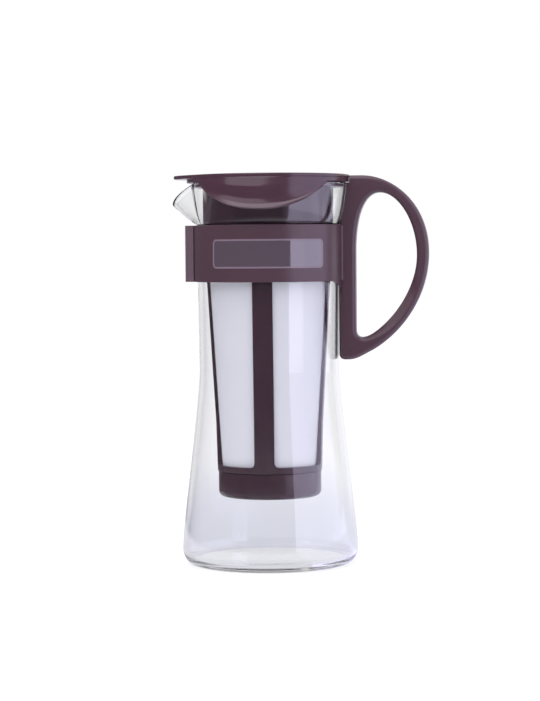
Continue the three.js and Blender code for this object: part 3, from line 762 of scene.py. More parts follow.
band = turned("handle_moulding", band_profile(band_bottom, band_top), handle_plastic)
arch_start = band_outer * math.cos(ARCH_START_ANGLE)
arch_edge = band_bottom + EDGE_BREAK
arch_low = band_bottom - ARCH_DROP
arch_line = bend((arch_start, arch_edge), (spine_inner, arch_edge), (band_outer, arch_low), ARCH_STEPS)
arch_outline = [*arch_line, (band_outer + OVERRUN, arch_low), (band_outer + OVERRUN, arch_edge + EDGE_BREAK),
                (arch_start, arch_edge + EDGE_BREAK)]
arch = turned("arch", band_profile(arch_low - EDGE_BREAK, band_bottom + BAND_HEIGHT / 2), handle_plastic)
arch_cutter = prism("arch_cutter", arch_outline, -2 * band_outer, 2 * band_outer, "Y")
combine(arch, [arch_cutter], "INTERSECT")

# %% [markdown]
# ## Handle
# Seen from the side the handle is a D that thins toward its outer side. Its edges are rounded for the
# hand. The outline and the finger hole are the CAD source's curves. From each, rows of points step
# inward and up round the edge, as the mould's tool did, and the flat cheeks are filled between the last
# rows. Low in the hole the edge widens into a flat chamfer with a crisp ridge, where fingers press.

# %% Trace the handle's outline and hole
OUTER_START_SHARE = (0.25, 1)
OUTER_CURVE_SHARES = [
    [(0.62, 1), (1, 0.84), (1, 0.58)],
    [(1, 0.35), (0.72, 0.15), (0.375, 0.052)],
    [(0.26, 0.024), (0.2, 0), (0.1, 0)],
]
HOLE_START_SHARE = (0, 0.065)
HOLE_CURVE_SHARES = [
    [(0, 0), (0.13, 0), (0.29, 0.043)],
    [(0.68, 0.157), (1, 0.37), (1, 0.575)],
    [(1, 0.8), (0.7, 1), (0.395, 1)],
    [(0.17, 1), (0.01, 0.87), (0, 0.62)],
    [(0, 0.45), (0, 0.3), (0, 0.065)],
]
OUTER_STEPS, HOLE_STEPS, CORNER_STEPS, SIDE_STEPS = 36, 30, 10, 30


def trace(low, high, start, curves, steps):
    place = lambda share: tuple(a + (b - a) * s for a, b, s in zip(low, high, share))
    points = [place(start)]
    for curve in curves:
        points += bezier(points[-1], *map(place, curve), steps)[1:]
    return points


outer_line = trace((spine_inner, handle_bottom), (handle_reach, handle_top),
                   OUTER_START_SHARE, OUTER_CURVE_SHARES, OUTER_STEPS)
corner_top = handle_bottom + HANDLE_CORNER
outer_line += arc((spine_inner + HANDLE_CORNER, corner_top), HANDLE_CORNER,
                  -math.pi / 2, -math.pi, CORNER_STEPS)
outer_line += [(spine_inner, corner_top + (handle_top - HANDLE_CORNER - handle_bottom) * i / SIDE_STEPS)
               for i in range(1, SIDE_STEPS + 1)]
hole_low = (spine_outer, handle_bottom + HANDLE_FOOT_BAR)
hole_high = (handle_reach - HANDLE_SIDE_BAR, handle_top - HANDLE_TOP_BAR)
hole_line = trace(hole_low, hole_high, HOLE_START_SHARE, HOLE_CURVE_SHARES, HOLE_STEPS)[:-1]
print("handle outline:", len(outer_line), "points, hole:", len(hole_line))


# %% Step the edges inward
CHAMFER_WIDTH = 2.2 * MM
CHAMFER_FROM, CHAMFER_FULL = -115, -85
CHAMFER_FADES, CHAMFER_TO = -50, -10
EDGE_ROWS = 8


def inward(line, toward_left):
    """Unit normals of a closed line in its plane, pointing into the material."""
    normals = []
    for i in range(len(line)):
        ahead = Vector(line[(i + 1) % len(line)]) - Vector(line[i - 1])
        ahead.normalize()
        normals.append(Vector((-ahead.y, ahead.x)) * (1 if toward_left else -1))
    return normals


def area_of(line):
    return sum(a[0] * b[1] - b[0] * a[1] for a, b in zip(line, [*line[1:], line[0]])) / 2


def edge_rows(line, material_left, chamfer):
    """Rows of (x, z, y) from the middle of the side to the flat cheek."""
    normals = inward(line, material_left)
    rows = [[(x, z, 0) for x, z in line]]
    for k in range(EDGE_ROWS + 1):
        flat = k / EDGE_ROWS
        t = flat * math.pi / 2
        round_in, round_up = 1 - math.cos(t), math.sin(t)
        row = []
        for (x, z), normal in zip(line, normals):
            extra = chamfer(x, z)
            width = HANDLE_EDGE + CHAMFER_WIDTH * extra
            share_in = round_in + (flat - round_in) * extra
            share_up = round_up + (flat - round_up) * extra
            row.append((x + normal.x * width * share_in, z + normal.y * width * share_in,
                        HANDLE_WIDTH / 2 - HANDLE_EDGE * (1 - share_up)))
        rows.append(row)
    return rows


def eased(share):
    share = min(max(share, 0), 1)
    return share * share * (3 - 2 * share)


def hole_chamfer(x, z):
    """1 along the lower right of the hole, fading to 0 at its left and at its right."""
    center = Vector(((hole_low[0] + hole_high[0]) / 2, (hole_low[1] + hole_high[1]) / 2))
    around = math.degrees(math.atan2(z - center.y, x - center.x))
    return (eased((around - CHAMFER_FROM) / (CHAMFER_FULL - CHAMFER_FROM))
            * eased((CHAMFER_TO - around) / (CHAMFER_TO - CHAMFER_FADES)))


print("edge rows on each side:", EDGE_ROWS)


# %% Build the bar
def handle_bar():
    lines = [(outer_line, area_of(outer_line) > 0, lambda x, z: 0),
             (hole_line, area_of(hole_line) < 0, hole_chamfer)]
    verts, faces, ends = [], [], []
    for line, left, chamfer in lines:
        half = edge_rows(line, left, chamfer)
        rows = [[(x, -y, z) for x, z, y in row] for row in reversed(half)]
        rows += [[(x, y, z) for x, z, y in row] for row in half[1:]]
        first, count = len(verts), len(line)
        verts += [point for row in rows for point in row]
        faces += skin(len(rows), count, first)
        ends.append([range(start, start + count) for start in (first, first + (len(rows) - 1) * count)])
    for loops in zip(*ends):
        flat = [[Vector((verts[i][0], verts[i][2], 0)) for i in loop] for loop in loops]
        joined = [i for loop in loops for i in loop]
        faces += [tuple(joined[i] for i in triangle) for triangle in tessellate_polygon(flat)]
    return solid("handle_bar", verts, faces)


bar = handle_bar()
print("bar:", len(bar.data.polygons), "faces")

# %% Cut the bar to the glass and the lid
clearance_profile = [
    (0, handle_bottom - OVERRUN), (spine_inner, handle_bottom - OVERRUN), (spine_inner, band_bottom),
    (band_middle, band_bottom), (band_middle, band_top),
    *[point for point in jug_wall(SLIDE_GAP, JUG_STEPS) if point[1] > band_top],
    (mouth_radius + SLIDE_GAP, JUG_HEIGHT), (lid_radius + LID_HANDLE_GAP, JUG_HEIGHT),
    (lid_radius + LID_HANDLE_GAP, handle_top + OVERRUN), (0, handle_top + OVERRUN),
]
combine(bar, [turned("clearance", clearance_profile, handle_plastic)], "DIFFERENCE")

# %% [markdown]
# Where the band meets the handle, a moulded part has a hollow fillet, because a sharp inside corner
# would crack. Seen from above it is a small arc that touches the band's ring and the handle's cheek.

# %% Fill the corners between band and handle
FILLET_STEPS = 12
cheek = HANDLE_WIDTH / 2
fillet_y = cheek + FILLET_RADIUS
fillet_x = math.sqrt((band_outer + FILLET_RADIUS) ** 2 - fillet_y**2)
touch = math.atan2(fillet_y, fillet_x)
fillet_arc = arc((fillet_x, fillet_y), FILLET_RADIUS, math.pi + touch, 1.5 * math.pi, FILLET_STEPS)
fillet_core = [(fillet_x, cheek / 2), (band_middle * math.cos(touch), cheek / 2),
               (band_middle * math.cos(touch), band_middle * math.sin(touch))]
end_bottom, end_top = band_bottom + EDGE_BREAK, band_top - EDGE_BREAK
fillets = [prism("fillet", [(x, sign * y) for x, y in [*fillet_arc, *fillet_core]], end_bottom, end_top)
           for sign in (1, -1)]
print("fillets touch the band at", round(math.degrees(touch), 1), "degrees")

# %% Turn out the ends of the band and join the moulding
END_EDGE = 0.15 * MM
END_OFFSET = 0.01 * MM


def block(name, low_x, high_x, half, bottom, top, edge=END_EDGE):
    corners = [(low_x, -half), (high_x, -half), (high_x, half), (low_x, half)]
    return prism(name, rounded(corners, edge, FEW_STEPS), bottom, top)


stem_half = BAND_SPLIT / 2 + END_STEM
stems = block("stems", -end_head_outer + END_OFFSET, -band_middle, stem_half, end_bottom, end_top)
heads = block("heads", -end_head_outer, -end_head_inner, END_HEAD_HALF_WIDTH, end_bottom, end_top)
combine(band, [bar, arch, *fillets, stems, heads], "UNION")
gap = block("gap", -clip_outer - OVERRUN, -band_inner + OVERRUN, BAND_SPLIT / 2,
            band_bottom - OVERRUN, band_top + OVERRUN, END_OFFSET)
combine(band, [gap], "DIFFERENCE")
dress(band, handle_plastic, "jug", "handle", "handle_band")

# %% [markdown]
# ## Band clip
# A little channel under the spout slides down over the band's two turned-out ends and holds them
# together. Its two sides flare out along the band. It is the same section all the way, as an extruded
# part is, and its edges are broken. Its plastic is a shade paler than the band's.

# %% Draw half of the clip's section
SEAT_STEPS, FLARE_STEPS, CLIP_CORNER_STEPS = 10, 14, 6
pocket = END_HEAD_HALF_WIDTH + SEAT_GAP
throat = BAND_SPLIT / 2 + END_STEM + SEAT_GAP
seat = band_outer + SEAT_GAP
flare_half = clip_half + CLIP_FLARE
throat_angle, flare_angle = math.asin(throat / seat), math.asin(flare_half / seat)
tip = (-(seat + CLIP_FLARE_EDGE) * math.cos(flare_angle), flare_half)
flare = bend(tip, (-seat - CLIP_FLARE_EDGE, clip_half), (-seat - CLIP_FLARE_ROOT, clip_half), FLARE_STEPS)
corner = bend((-clip_outer + CLIP_CORNER, clip_half), (-clip_outer, clip_half),
              (-clip_outer, clip_half - CLIP_CORNER), CLIP_CORNER_STEPS)
half_section = [
    (-clip_outer + CLIP_WALL, pocket), (-seat - CLIP_HOOK, pocket), (-seat - CLIP_HOOK, throat),
    *arc((0, 0), seat, math.pi - throat_angle, math.pi - flare_angle, SEAT_STEPS), *flare, *corner,
]
print("clip section:", 2 * len(half_section), "points")

# %% Build the clip
CLIP_EDGE = 0.2 * MM
CLIP_EDGE_ANGLE = math.radians(50)
clip_section = half_section + [(x, -y) for x, y in reversed(half_section)]
clip = prism("clip", clip_section, band_bottom, band_top)
edge = clip.modifiers.new("edge", "BEVEL")
edge.width = CLIP_EDGE
edge.segments = FEW_STEPS
edge.limit_method = "ANGLE"
edge.angle_limit = CLIP_EDGE_ANGLE
dress(apply_stack(clip), clip_plastic, "clip", "clip", "band_clip")

# %% [markdown]
# ## Strainer frame
# One moulding holds the cloth: a cup that hangs on the jug's rim by a flange, four ribs and a ring at
# the foot. It is easiest to see as a tapering tube with four windows cut in it. The tube is turned, and
# a second node tree puts one window cutter round the axis four times and subtracts them.

# %% Turn the frame's wall
FRAME_CORNER = 0.3 * MM


def frame_radius(z):
    swollen = ring_radius + TAPER_SWELL
    if z > cup_shoulder:
        return cup_radius
    if z > taper_z:
        return swollen + (cup_radius - swollen) * (z - taper_z) / (cup_shoulder - taper_z)
    return ring_radius + TAPER_SWELL * (z - ring_bottom) / TAPER_HEIGHT


def rib_inner(z):
    top = frame_radius(cup_bottom) - RIB_THICKNESS_TOP
    bottom = frame_radius(ring_top) - RIB_THICKNESS_BOTTOM
    return bottom + (top - bottom) * (z - ring_top) / (cup_bottom - ring_top)


mesh_room = rib_inner(cup_bottom) - MESH_THICKNESS - SEAT_GAP
frame_wall = rounded([
    (spigot_inner, spigot_bottom), (spigot_outer, spigot_bottom), (spigot_outer, ring_bottom),
    (ring_radius, ring_bottom), (ring_radius + TAPER_SWELL, taper_z), (cup_radius, cup_shoulder),
    (cup_radius, flange_bottom), (flange_outer, flange_bottom), (flange_outer, hang_bottom),
    (hang_outer, hang_bottom), (hang_outer, hang_top), (flange_outer - FLANGE_THICKNESS, hang_top),
    (flange_outer - FLANGE_THICKNESS, flange_top), (cup_inner, flange_top), (cup_inner, cup_shoulder),
    (frame_radius(ledge_top) - CUP_WALL, ledge_top), (mesh_room, ledge_top), (mesh_room, cup_bottom),
    (rib_inner(cup_bottom), cup_bottom), (rib_inner(ring_top), ring_top), (rib_inner(ring_ledge), ring_ledge),
    (spigot_inner, ring_ledge),
], FRAME_CORNER, FEW_STEPS)
frame_body = turned("strainer_body", frame_wall, strainer_plastic)
print("frame wall:", len(frame_wall), "profile points")

# %% Shape one window cutter
WINDOW_CORNER_STEPS = 8
WINDOW_PITCH = 3 * MM
WINDOW_INNER_SHARE = 0.5
WINDOW_OUTER_SHARE = 1.5


def fill_in(line, pitch):
    """Adds points so that no side is longer than pitch, because straight sides have to follow the tube."""
    out = []
    for a, b in zip(line, [*line[1:], line[0]]):
        pieces = max(1, math.ceil(math.dist(a, b) / pitch))
        out += [tuple(p + (q - p) * k / pieces for p, q in zip(a, b)) for k in range(pieces)]
    return out


window_half = math.pi * ring_radius / RIB_COUNT - RIB_WIDTH / 2
window_corners = [(-window_half, ring_top), (window_half, ring_top),
                  (window_half, cup_bottom), (-window_half, cup_bottom)]
window_line = fill_in(rounded(window_corners, WINDOW_CORNER, WINDOW_CORNER_STEPS), WINDOW_PITCH)
cutter_verts = []
for share in (WINDOW_INNER_SHARE, WINDOW_OUTER_SHARE):
    for across, z in window_line:
        opening = math.pi / RIB_COUNT - math.asin(RIB_WIDTH / 2 / frame_radius(z))
        around = across / window_half * opening
        out_to = frame_radius(z) * share
        cutter_verts.append((out_to * math.cos(around), out_to * math.sin(around), z))
count = len(window_line)
cutter_faces = skin(2, count)
for layer in (0, count):
    triangles = tessellate_polygon([[Vector((across, z, 0)) for across, z in window_line]])
    cutter_faces += [tuple(layer + i for i in triangle) for triangle in triangles]
window_cutter = solid("window_cutter", cutter_verts, cutter_faces)
print("window cutter:", count, "points round")

# %% Cut the windows with a node tree
windows, given, end = new_tree("ribbed_frame", {
    "Cutter": "Object", "Window count": "Int", "First angle": "Float", "Material": "Material"})
calc = partial(number_node, windows)
stack = add_node(windows, "GeometryNodePoints", {"Count": given["Window count"]})
shape = add_node(windows, "GeometryNodeObjectInfo", {"Object": given["Cutter"]})
number = add_node(windows, "GeometryNodeInputIndex").outputs[0]
step = calc("DIVIDE", 2 * math.pi, given["Window count"])
turned_by = calc("ADD", calc("MULTIPLY", number, step), given["First angle"])
spin = add_node(windows, "ShaderNodeCombineXYZ", {"Z": turned_by})
copies = add_node(windows, "GeometryNodeInstanceOnPoints", {
    "Points": stack.outputs[0], "Instance": shape.outputs["Geometry"], "Rotation": spin.outputs[0]})
loose = add_node(windows, "GeometryNodeRealizeInstances", {0: copies.outputs[0]})
subtract = add_node(windows, "GeometryNodeMeshBoolean", operation="DIFFERENCE", solver="EXACT")
windows.links.new(given["Geometry"], subtract.inputs["Mesh 1"])
windows.links.new(loose.outputs[0], subtract.inputs["Mesh 2"])
finish_tree(windows, subtract.outputs[0], given["Material"], end)
run_tree(frame_body, windows, cutter=window_cutter, window_count=RIB_COUNT,
         first_angle=math.pi / RIB_COUNT, material=strainer_plastic)
bpy.data.objects.remove(window_cutter)
print("ribbed frame:", len(frame_body.data.polygons), "faces")

# %% [markdown]
# Three small lugs on the spigot below the ring lock into L-shaped slots in the cap. They hide inside the
# cap until it is taken off, but the lock is real, so they are there.

# %% Add the lugs
SECTOR_STEPS = 16


def sector(name, inner, outer, from_angle, to_angle, low, high):
    line = arc((0, 0), outer, from_angle, to_angle, SECTOR_STEPS)
    line += arc((0, 0), inner, to_angle, from_angle, SECTOR_STEPS)
    return prism(name, line, low, high)


lug_angles = [k * 2 * math.pi / LUG_COUNT for k in range(LUG_COUNT)]
lugs = [sector("lug", spigot_outer - SPIGOT_WALL / 2, lug_outer, middle - LUG_HALF_ANGLE,
               middle + LUG_HALF_ANGLE, lug_top - LUG_HEIGHT, lug_top) for middle in lug_angles]
combine(frame_body, lugs, "UNION")
dress(frame_body, strainer_plastic, "strainer", "frame", "strainer_frame")

# %% [markdown]
# ## Filter cloth tube
# The cloth is a tube held at its ends and by the ribs. Between the ribs it is drawn in a hair's breadth,
# which is what bends the light on it. It is laid out as a grid round the axis, so that its UV map can
# count in metres, and its thickness comes with the grid: up the outside and down the inside.

# %% Lay out the cloth
CLOTH_SAG = 0.25 * MM
CLOTH_COLUMNS = 192
CLOTH_ROWS = 60
cloth_bottom, cloth_top = ring_ledge + SEAT_GAP, cup_bottom - SEAT_GAP
outside = []
for k in range(CLOTH_ROWS + 1):
    z = cloth_bottom + (cloth_top - cloth_bottom) * k / CLOTH_ROWS
    outside.append((rib_inner(z) - SEAT_GAP, z, math.sin(math.pi * k / CLOTH_ROWS) ** 0.5))
cloth_rows = outside + [(r - MESH_THICKNESS, z, sag) for r, z, sag in reversed(outside)]
cloth_verts = []
for r, z, sag in cloth_rows:
    for j in range(CLOTH_COLUMNS):
        around = 2 * math.pi * j / CLOTH_COLUMNS
        between = math.sin(around * RIB_COUNT / 2) ** 2
        here = r - CLOTH_SAG * sag * between
        cloth_verts.append((here * math.cos(around), here * math.sin(around), z))
cloth = bpy.data.meshes.new("filter_cloth_tube")
cloth.from_pydata(cloth_verts, [], skin(len(cloth_rows), CLOTH_COLUMNS, wrap=True))
uv_layer = cloth.uv_layers.new(name="cloth")
for polygon in cloth.polygons:
    seam = polygon.index % CLOTH_COLUMNS == CLOTH_COLUMNS - 1
    for loop_index in polygon.loop_indices:
        x, y, z = cloth.vertices[cloth.loops[loop_index].vertex_index].co
        around = math.atan2(y, x) % (2 * math.pi)
        if seam and around < math.pi:
            around += 2 * math.pi
        uv_layer.data[loop_index].uv = (around * ring_radius, z)
dress(link_mesh("filter_cloth_tube", cloth), filter_cloth, "strainer", "mesh", "strainer_mesh")

# %% [markdown]
# ## Strainer cap
# The cap closes the tube from below. It is turned, with the same slots cut in as the CAD has, one entry
# and one run for each lug. Outside it is plain, with a rounded lower corner.

# %% Turn the cap and cut its slots
CAP_EDGE = 0.4 * MM
CAP_CORNER_STEPS = 12
corner_height = cap_bottom + CAP_CORNER
cap_corner = arc((cap_radius - CAP_CORNER, corner_height), CAP_CORNER, -math.pi / 2, 0, CAP_CORNER_STEPS)
cap_side = rounded([(cap_radius, corner_height), (cap_radius, cap_top), (cap_inner, cap_top),
                    (cap_inner, cap_bottom + CAP_FLOOR), (0, cap_bottom + CAP_FLOOR)], CAP_EDGE, closed=False)
cap_body = turned("cap_body", [(0, cap_bottom), *cap_corner, *cap_side[1:]], strainer_plastic)
slot_half = LUG_HALF_ANGLE + LOCK_SLACK_ANGLE
slot_low = lug_top - LUG_HEIGHT - SEAT_GAP
slot_near, slot_far = cap_inner - OVERRUN, lug_outer + SEAT_GAP
slots = []
for locked in lug_angles:
    opened = locked - TWIST_ANGLE
    for kind, stop, top in (("run", locked, lug_top + SEAT_GAP), ("entry", opened, cap_top + OVERRUN)):
        slots.append(sector(kind, slot_near, slot_far, opened - slot_half, stop + slot_half, slot_low, top))
combine(cap_body, slots, "DIFFERENCE")
dress(cap_body, strainer_plastic, "cap", "cap", "strainer_cap")

# %% [markdown]
# ## Lid
# The lid is one polished moulding: a thin plate drawn out into a beak over the spout, a short skirt
# round the strainer's rim, a ring that centres it in the cup, and two lobes that hang outside the glass,
# front and back, to lift it by. The lobes curl outward at their lower edge into a lip, which reads as
# the smile across the front. The plate's outline steps in row by row, so that its edges are round.

# %% Shape the plate
LID_ROUND_STEPS = 160
BEAK_STEPS = 40
LID_EDGE = 0.6 * MM
LID_EDGE_STEPS = 5
DISH_DEPTH = 0.4 * MM
DISH_MARGIN = 3.5 * MM
DISH_STEPS = 6


def lid_outline():
    start = BEAK_START_ANGLE
    root = (lid_radius * math.cos(start), lid_radius * math.sin(start))
    pull = (root[0] - BEAK_ROOT_PULL * math.sin(start), root[1] + BEAK_ROOT_PULL * math.cos(start))
    line = arc((0, 0), lid_radius, -start, start, LID_ROUND_STEPS)
    line += bezier(root, pull, (-beak_reach, BEAK_TIP_PULL), (-beak_reach, 0), BEAK_STEPS)[1:]
    line += bezier((-beak_reach, 0), (-beak_reach, -BEAK_TIP_PULL), (pull[0], -pull[1]), (root[0], -root[1]),
                   BEAK_STEPS)[1:-1]
    return line


lid_line = lid_outline()
lid_normals = inward(lid_line, area_of(lid_line) > 0)


def lid_row(inset, z):
    return [(x + n.x * inset, y + n.y * inset, z) for (x, y), n in zip(lid_line, lid_normals)]


quarter = [math.pi / 2 * k / LID_EDGE_STEPS for k in range(LID_EDGE_STEPS + 1)]
edge_steps = [(LID_EDGE * (1 - math.sin(t)), LID_EDGE * (1 - math.cos(t))) for t in quarter]
lid_rows = [lid_row(sine_step, lid_underside + cosine_step) for sine_step, cosine_step in edge_steps]
lid_rows += [lid_row(cosine_step, lid_top - sine_step) for sine_step, cosine_step in edge_steps]
for k in range(DISH_STEPS + 1):
    dish = DISH_DEPTH * (1 - math.cos(math.pi * k / DISH_STEPS)) / 2
    lid_rows.append(lid_row(DISH_MARGIN + DISH_DEPTH * k, lid_top - dish))
lid_body = stacked("lid_body", lid_rows)
print("lid plate:", len(lid_line), "points round")

# %% Space out the points of a line
SHORTEST_SIDE = 1e-12


def resample(line, count):
    """The same closed line with evenly spaced points."""
    closed = [*line, line[0]]
    lengths = [0.0]
    for a, b in zip(closed, closed[1:]):
        lengths.append(lengths[-1] + math.dist(a, b))
    out, k = [], 0
    for i in range(count):
        target = lengths[-1] * i / count
        while lengths[k + 1] < target:
            k += 1
        t = (target - lengths[k]) / max(lengths[k + 1] - lengths[k], SHORTEST_SIDE)
        out.append(tuple(p + (q - p) * t for p, q in zip(closed[k], closed[k + 1])))
    return out


print("a square in eight points:", resample([(0, 0), (1, 0), (1, 1), (0, 1)], 8))

# %% Shape a lobe
LOBE_END_SHARE = 0.985
LOBE_SHOULDER_SHARE = 0.45
LOBE_POWER = 2.3
SWELL_POWER = 2
LIP_POWER = 4
LIP_HEIGHT_POWER = 0.4
LOBE_STATIONS = 121
LOBE_POINTS = 44
LOBE_CORNER = 0.6 * MM


def lobe_section(share):
    """The lobe's section, where share is 0 at its middle and nearly 1 at its end."""
    root, root_bottom = skirt_outer - LID_SKIRT_WALL / 2, skirt_bottom + EDGE_BREAK
    top = lid_underside + EDGE_BREAK
    bottom = skirt_bottom - LOBE_DEPTH * (1 - share**LOBE_POWER)
    outer = skirt_outer + LOBE_SWELL * (1 - share**SWELL_POWER)
    lip = 1 - share**LIP_POWER
    flare = LIP_FLARE * lip
    lip_height = LIP_HEIGHT * lip * (1 - share**LOBE_POWER) ** LIP_HEIGHT_POWER
    return resample(rounded([
        (root, top), (root, root_bottom), (lobe_inner, root_bottom),
        (lobe_inner, bottom + lip_height / 2), (lobe_inner + flare / 2, bottom),
        (outer + flare, bottom), (outer + flare, bottom + lip_height * LIP_EDGE / LIP_HEIGHT),
        (outer + flare / 3, bottom + lip_height / 2), (outer, bottom + lip_height),
        (outer, top + (bottom + lip_height - top) * LOBE_SHOULDER_SHARE), (skirt_outer, top),
    ], LOBE_CORNER, FEW_STEPS), LOBE_POINTS)


def lobe_solid(side):
    rows = []
    for i in range(LOBE_STATIONS):
        around = LOBE_HALF_ANGLE * (2 * i / (LOBE_STATIONS - 1) - 1)
        section = lobe_section(LOBE_END_SHARE * abs(math.sin(around) / math.sin(LOBE_HALF_ANGLE)))
        rows.append([(side * r * math.sin(around), -side * r * math.cos(around), z) for r, z in section])
    return stacked("lobe", rows)


print("lobe:", LOBE_STATIONS, "sections of", LOBE_POINTS, "points")

# %% Join the lid
SKIRT_CORNER = 0.25 * MM
RING_CORNER = 0.35 * MM


def lid_ring(name, inner, outer, bottom, corner):
    top = lid_underside + EDGE_BREAK
    line = rounded([(inner, bottom), (outer, bottom), (outer, top), (inner, top)], corner, FEW_STEPS)
    return turned(name, line, lid_plastic)


ring_outer = cup_inner - SLIDE_GAP
skirt = lid_ring("skirt", skirt_inner, skirt_outer, skirt_bottom, SKIRT_CORNER)
centring = lid_ring("centring", ring_outer - LID_RING_WALL, ring_outer,
                    lid_underside - LID_RING_DEPTH, RING_CORNER)
combine(lid_body, [skirt, centring, lobe_solid(1), lobe_solid(-1)], "UNION")
dress(lid_body, lid_plastic, "lid", "lid", "lid")

# %% [markdown]
# ## Bare label
# A clear film with a thin printed frame is stuck to the band, a little round to the handle's side. Its
# words are left off, so it is a bare film with its frame. Being smoother than the plastic, it mirrors the
# lamps where the band only glows. It is bent round the band as a thin plate, and the frame is its edge.

# %% Mix the label's two finishes
FILM_COLOR = (0.068, 0.050, 0.066)
FRAME_COLOR = (0.17, 0.125, 0.16)
FILM_WAVES = (8 * MM, 1, 0.03 * MM, 0.4)
PRINT_GRAIN = (0.6 * MM, 2, 0.01 * MM, 0.4)
FILM_SHADE, FILM_CLOUDS = 0.92, (10 * MM, 2)
FILM_GLOSS, FILM_PATCHES = (0.04, 0.09), (3 * MM, 3)
FILM_IOR = 2.1
PRINT_SHADE, PRINT_CLOUDS = 0.85, (0.8 * MM, 3)
PRINT_GLOSS, PRINT_PATCHES = (0.15, 0.25), (2 * MM, 3)
label_film = clouded_finish("label_film", shades(FILM_COLOR, FILM_SHADE), FILM_CLOUDS, FILM_GLOSS,
                            FILM_PATCHES, [FILM_WAVES], IOR=FILM_IOR)
label_frame = clouded_finish("label_frame", shades(FRAME_COLOR, PRINT_SHADE), PRINT_CLOUDS, PRINT_GLOSS,
                             PRINT_PATCHES, [PRINT_GRAIN])
print("label finishes:", label_film.name, label_frame.name)

# %% Bend the label round the band
LABEL_WIDTH = 64 * MM
LABEL_HEIGHT = 15.2 * MM
LABEL_MIDDLE = 165.8 * MM
LABEL_TURN = math.radians(5.6)
LABEL_CORNER = 2.4 * MM
LABEL_LINE = 0.9 * MM
LABEL_THICKNESS = 0.09 * MM
LABEL_GAP = 0.01 * MM
LABEL_COLUMNS = 80


def label_outline(inset):
    """Columns across the label, first along its lower edge and then back along its upper edge."""
    half, tall, corner = LABEL_WIDTH / 2 - inset, LABEL_HEIGHT / 2 - inset, LABEL_CORNER - inset
    across = [-half * math.cos(math.pi * k / LABEL_COLUMNS) for k in range(LABEL_COLUMNS + 1)]
    into_corner = [max(0, abs(x) - (half - corner)) for x in across]
    up = [tall - corner + math.sqrt(max(corner**2 - c**2, 0)) for c in into_corner]
    return [(x, -u) for x, u in zip(across, up)] + [(x, u) for x, u in reversed(list(zip(across, up)))]


def on_band(across, up, lift):
    around = LABEL_TURN + across / band_outer
    out_to = band_outer + lift
    return out_to * math.sin(around), -out_to * math.cos(around), LABEL_MIDDLE + up


rings = [(0, LABEL_GAP), (0, LABEL_THICKNESS),
         (LABEL_LINE, LABEL_THICKNESS), (LABEL_LINE, LABEL_THICKNESS / 2)]
label_verts = [on_band(*point, lift) for inset, lift in rings for point in label_outline(inset)]
count = 2 * (LABEL_COLUMNS + 1)
frame_faces = skin(len(rings), count)
film_faces = [(base + k, base + k + 1, base + count - 2 - k, base + count - 1 - k)
              for base in (0, (len(rings) - 1) * count) for k in range(LABEL_COLUMNS)]
label = solid("label", label_verts, frame_faces + film_faces)
shade(label.data, label_frame, label_film)
for polygon in label.data.polygons:
    polygon.material_index = 0 if polygon.index < len(frame_faces) else 1
declare(label, "jug", "handle")

# %% [markdown]
# ## Studio
# The pot was shot on white with soft lamps at its right, and a dim room in front of it. That dim room is
# what lets the brown plastic stay dark, with a few clear soft blocks of light. The floor is a wide plane
# that the camera sees as white with the pot's own soft shadow. Through the glass it glows in a painted
# lilac shade near the pot, as the sweep under it looked, and in a darker painted shadow under the jug.
#
# Floor and world answer a ray by its way here. Light that a dull surface scattered finds the even light
# of a white studio. Light seen straight, or through the jug's near wall, finds the white backdrop. What
# is left was mirrored, and finds the drawn room. On the floor that room is a painted reflection: the
# floor glows pale near the pot and brighter than white in some directions, though it is no lamp.

# %% Helpers for light
WHITE = (1.0, 1.0, 1.0)
ROOM_COLOR = (0.10, 0.08, 0.10)
STRAYED_COLOR = (0.6, 0.6, 0.66)
STRAIGHT_WEDGE = (186, 42, 4)


def mix_shaders(tree, factor, first, second):
    return plug(tree, add_node(tree, "ShaderNodeMixShader"), factor, first, second)


def vector_node(tree, operation, *sources, output="Vector"):
    node = add_node(tree, "ShaderNodeVectorMath", operation=operation)
    plug(tree, node, *sources)
    return node.outputs[output]


def shine(tree, kind, color, strength=1.0):
    """An Emission or a Background whose colour is plain or comes from nodes."""
    color = (*color, 1) if isinstance(color, tuple) else color
    return plug(tree, add_node(tree, kind, Strength=strength), color)


def distance_fade(tree, coords, near, far):
    """0 up to near and 1 beyond far. With the two swapped it is 1 close to the pot."""
    length = vector_node(tree, "LENGTH", coords, output="Value")
    return remap(tree, length, near, far, shape="SMOOTHSTEP")


def toward(tree, coords, azimuth, half_width, soft):
    """1 inside a wedge of directions seen from above, 0 outside. Azimuth 0 is -Y and 90 is +X."""
    around = math.radians(azimuth)
    flat = vector_node(tree, "NORMALIZE", vector_node(tree, "MULTIPLY", coords, (1, 1, 0)))
    facing = vector_node(tree, "DOT_PRODUCT", flat, (math.sin(around), -math.cos(around), 0), output="Value")
    edges = [math.cos(math.radians(half_width + side * soft)) for side in (1, -1)]
    return remap(tree, facing, *edges, shape="SMOOTHSTEP")


print("straight light comes from", STRAIGHT_WEDGE[0], "degrees")


# %% Tell light apart by its way here
NO_BOUNCE, ONE_BOUNCE, ONE_WALL = 0.5, 1.5, 3.5


def light_kinds(tree, bounces):
    """Four masks. The first keeps the light that made no dull bounce. Of that light the others keep what
    nothing mirrored, what has only been in the jug's near wall, and what was mirrored more than once.
    The limits lie halfway between whole numbers of bounces."""
    calc = partial(number_node, tree)
    undulled = calc("LESS_THAN", bounces["Diffuse Depth"], NO_BOUNCE)
    unmirrored = calc("LESS_THAN", bounces["Glossy Depth"], NO_BOUNCE)
    entered = calc("GREATER_THAN", bounces["Transmission Depth"], NO_BOUNCE)
    in_wall = calc("MULTIPLY", entered, calc("LESS_THAN", bounces["Transmission Depth"], ONE_WALL))
    strayed = calc("GREATER_THAN", bounces["Glossy Depth"], ONE_BOUNCE)
    return undulled, *(calc("MULTIPLY", undulled, mask) for mask in (unmirrored, in_wall, strayed))


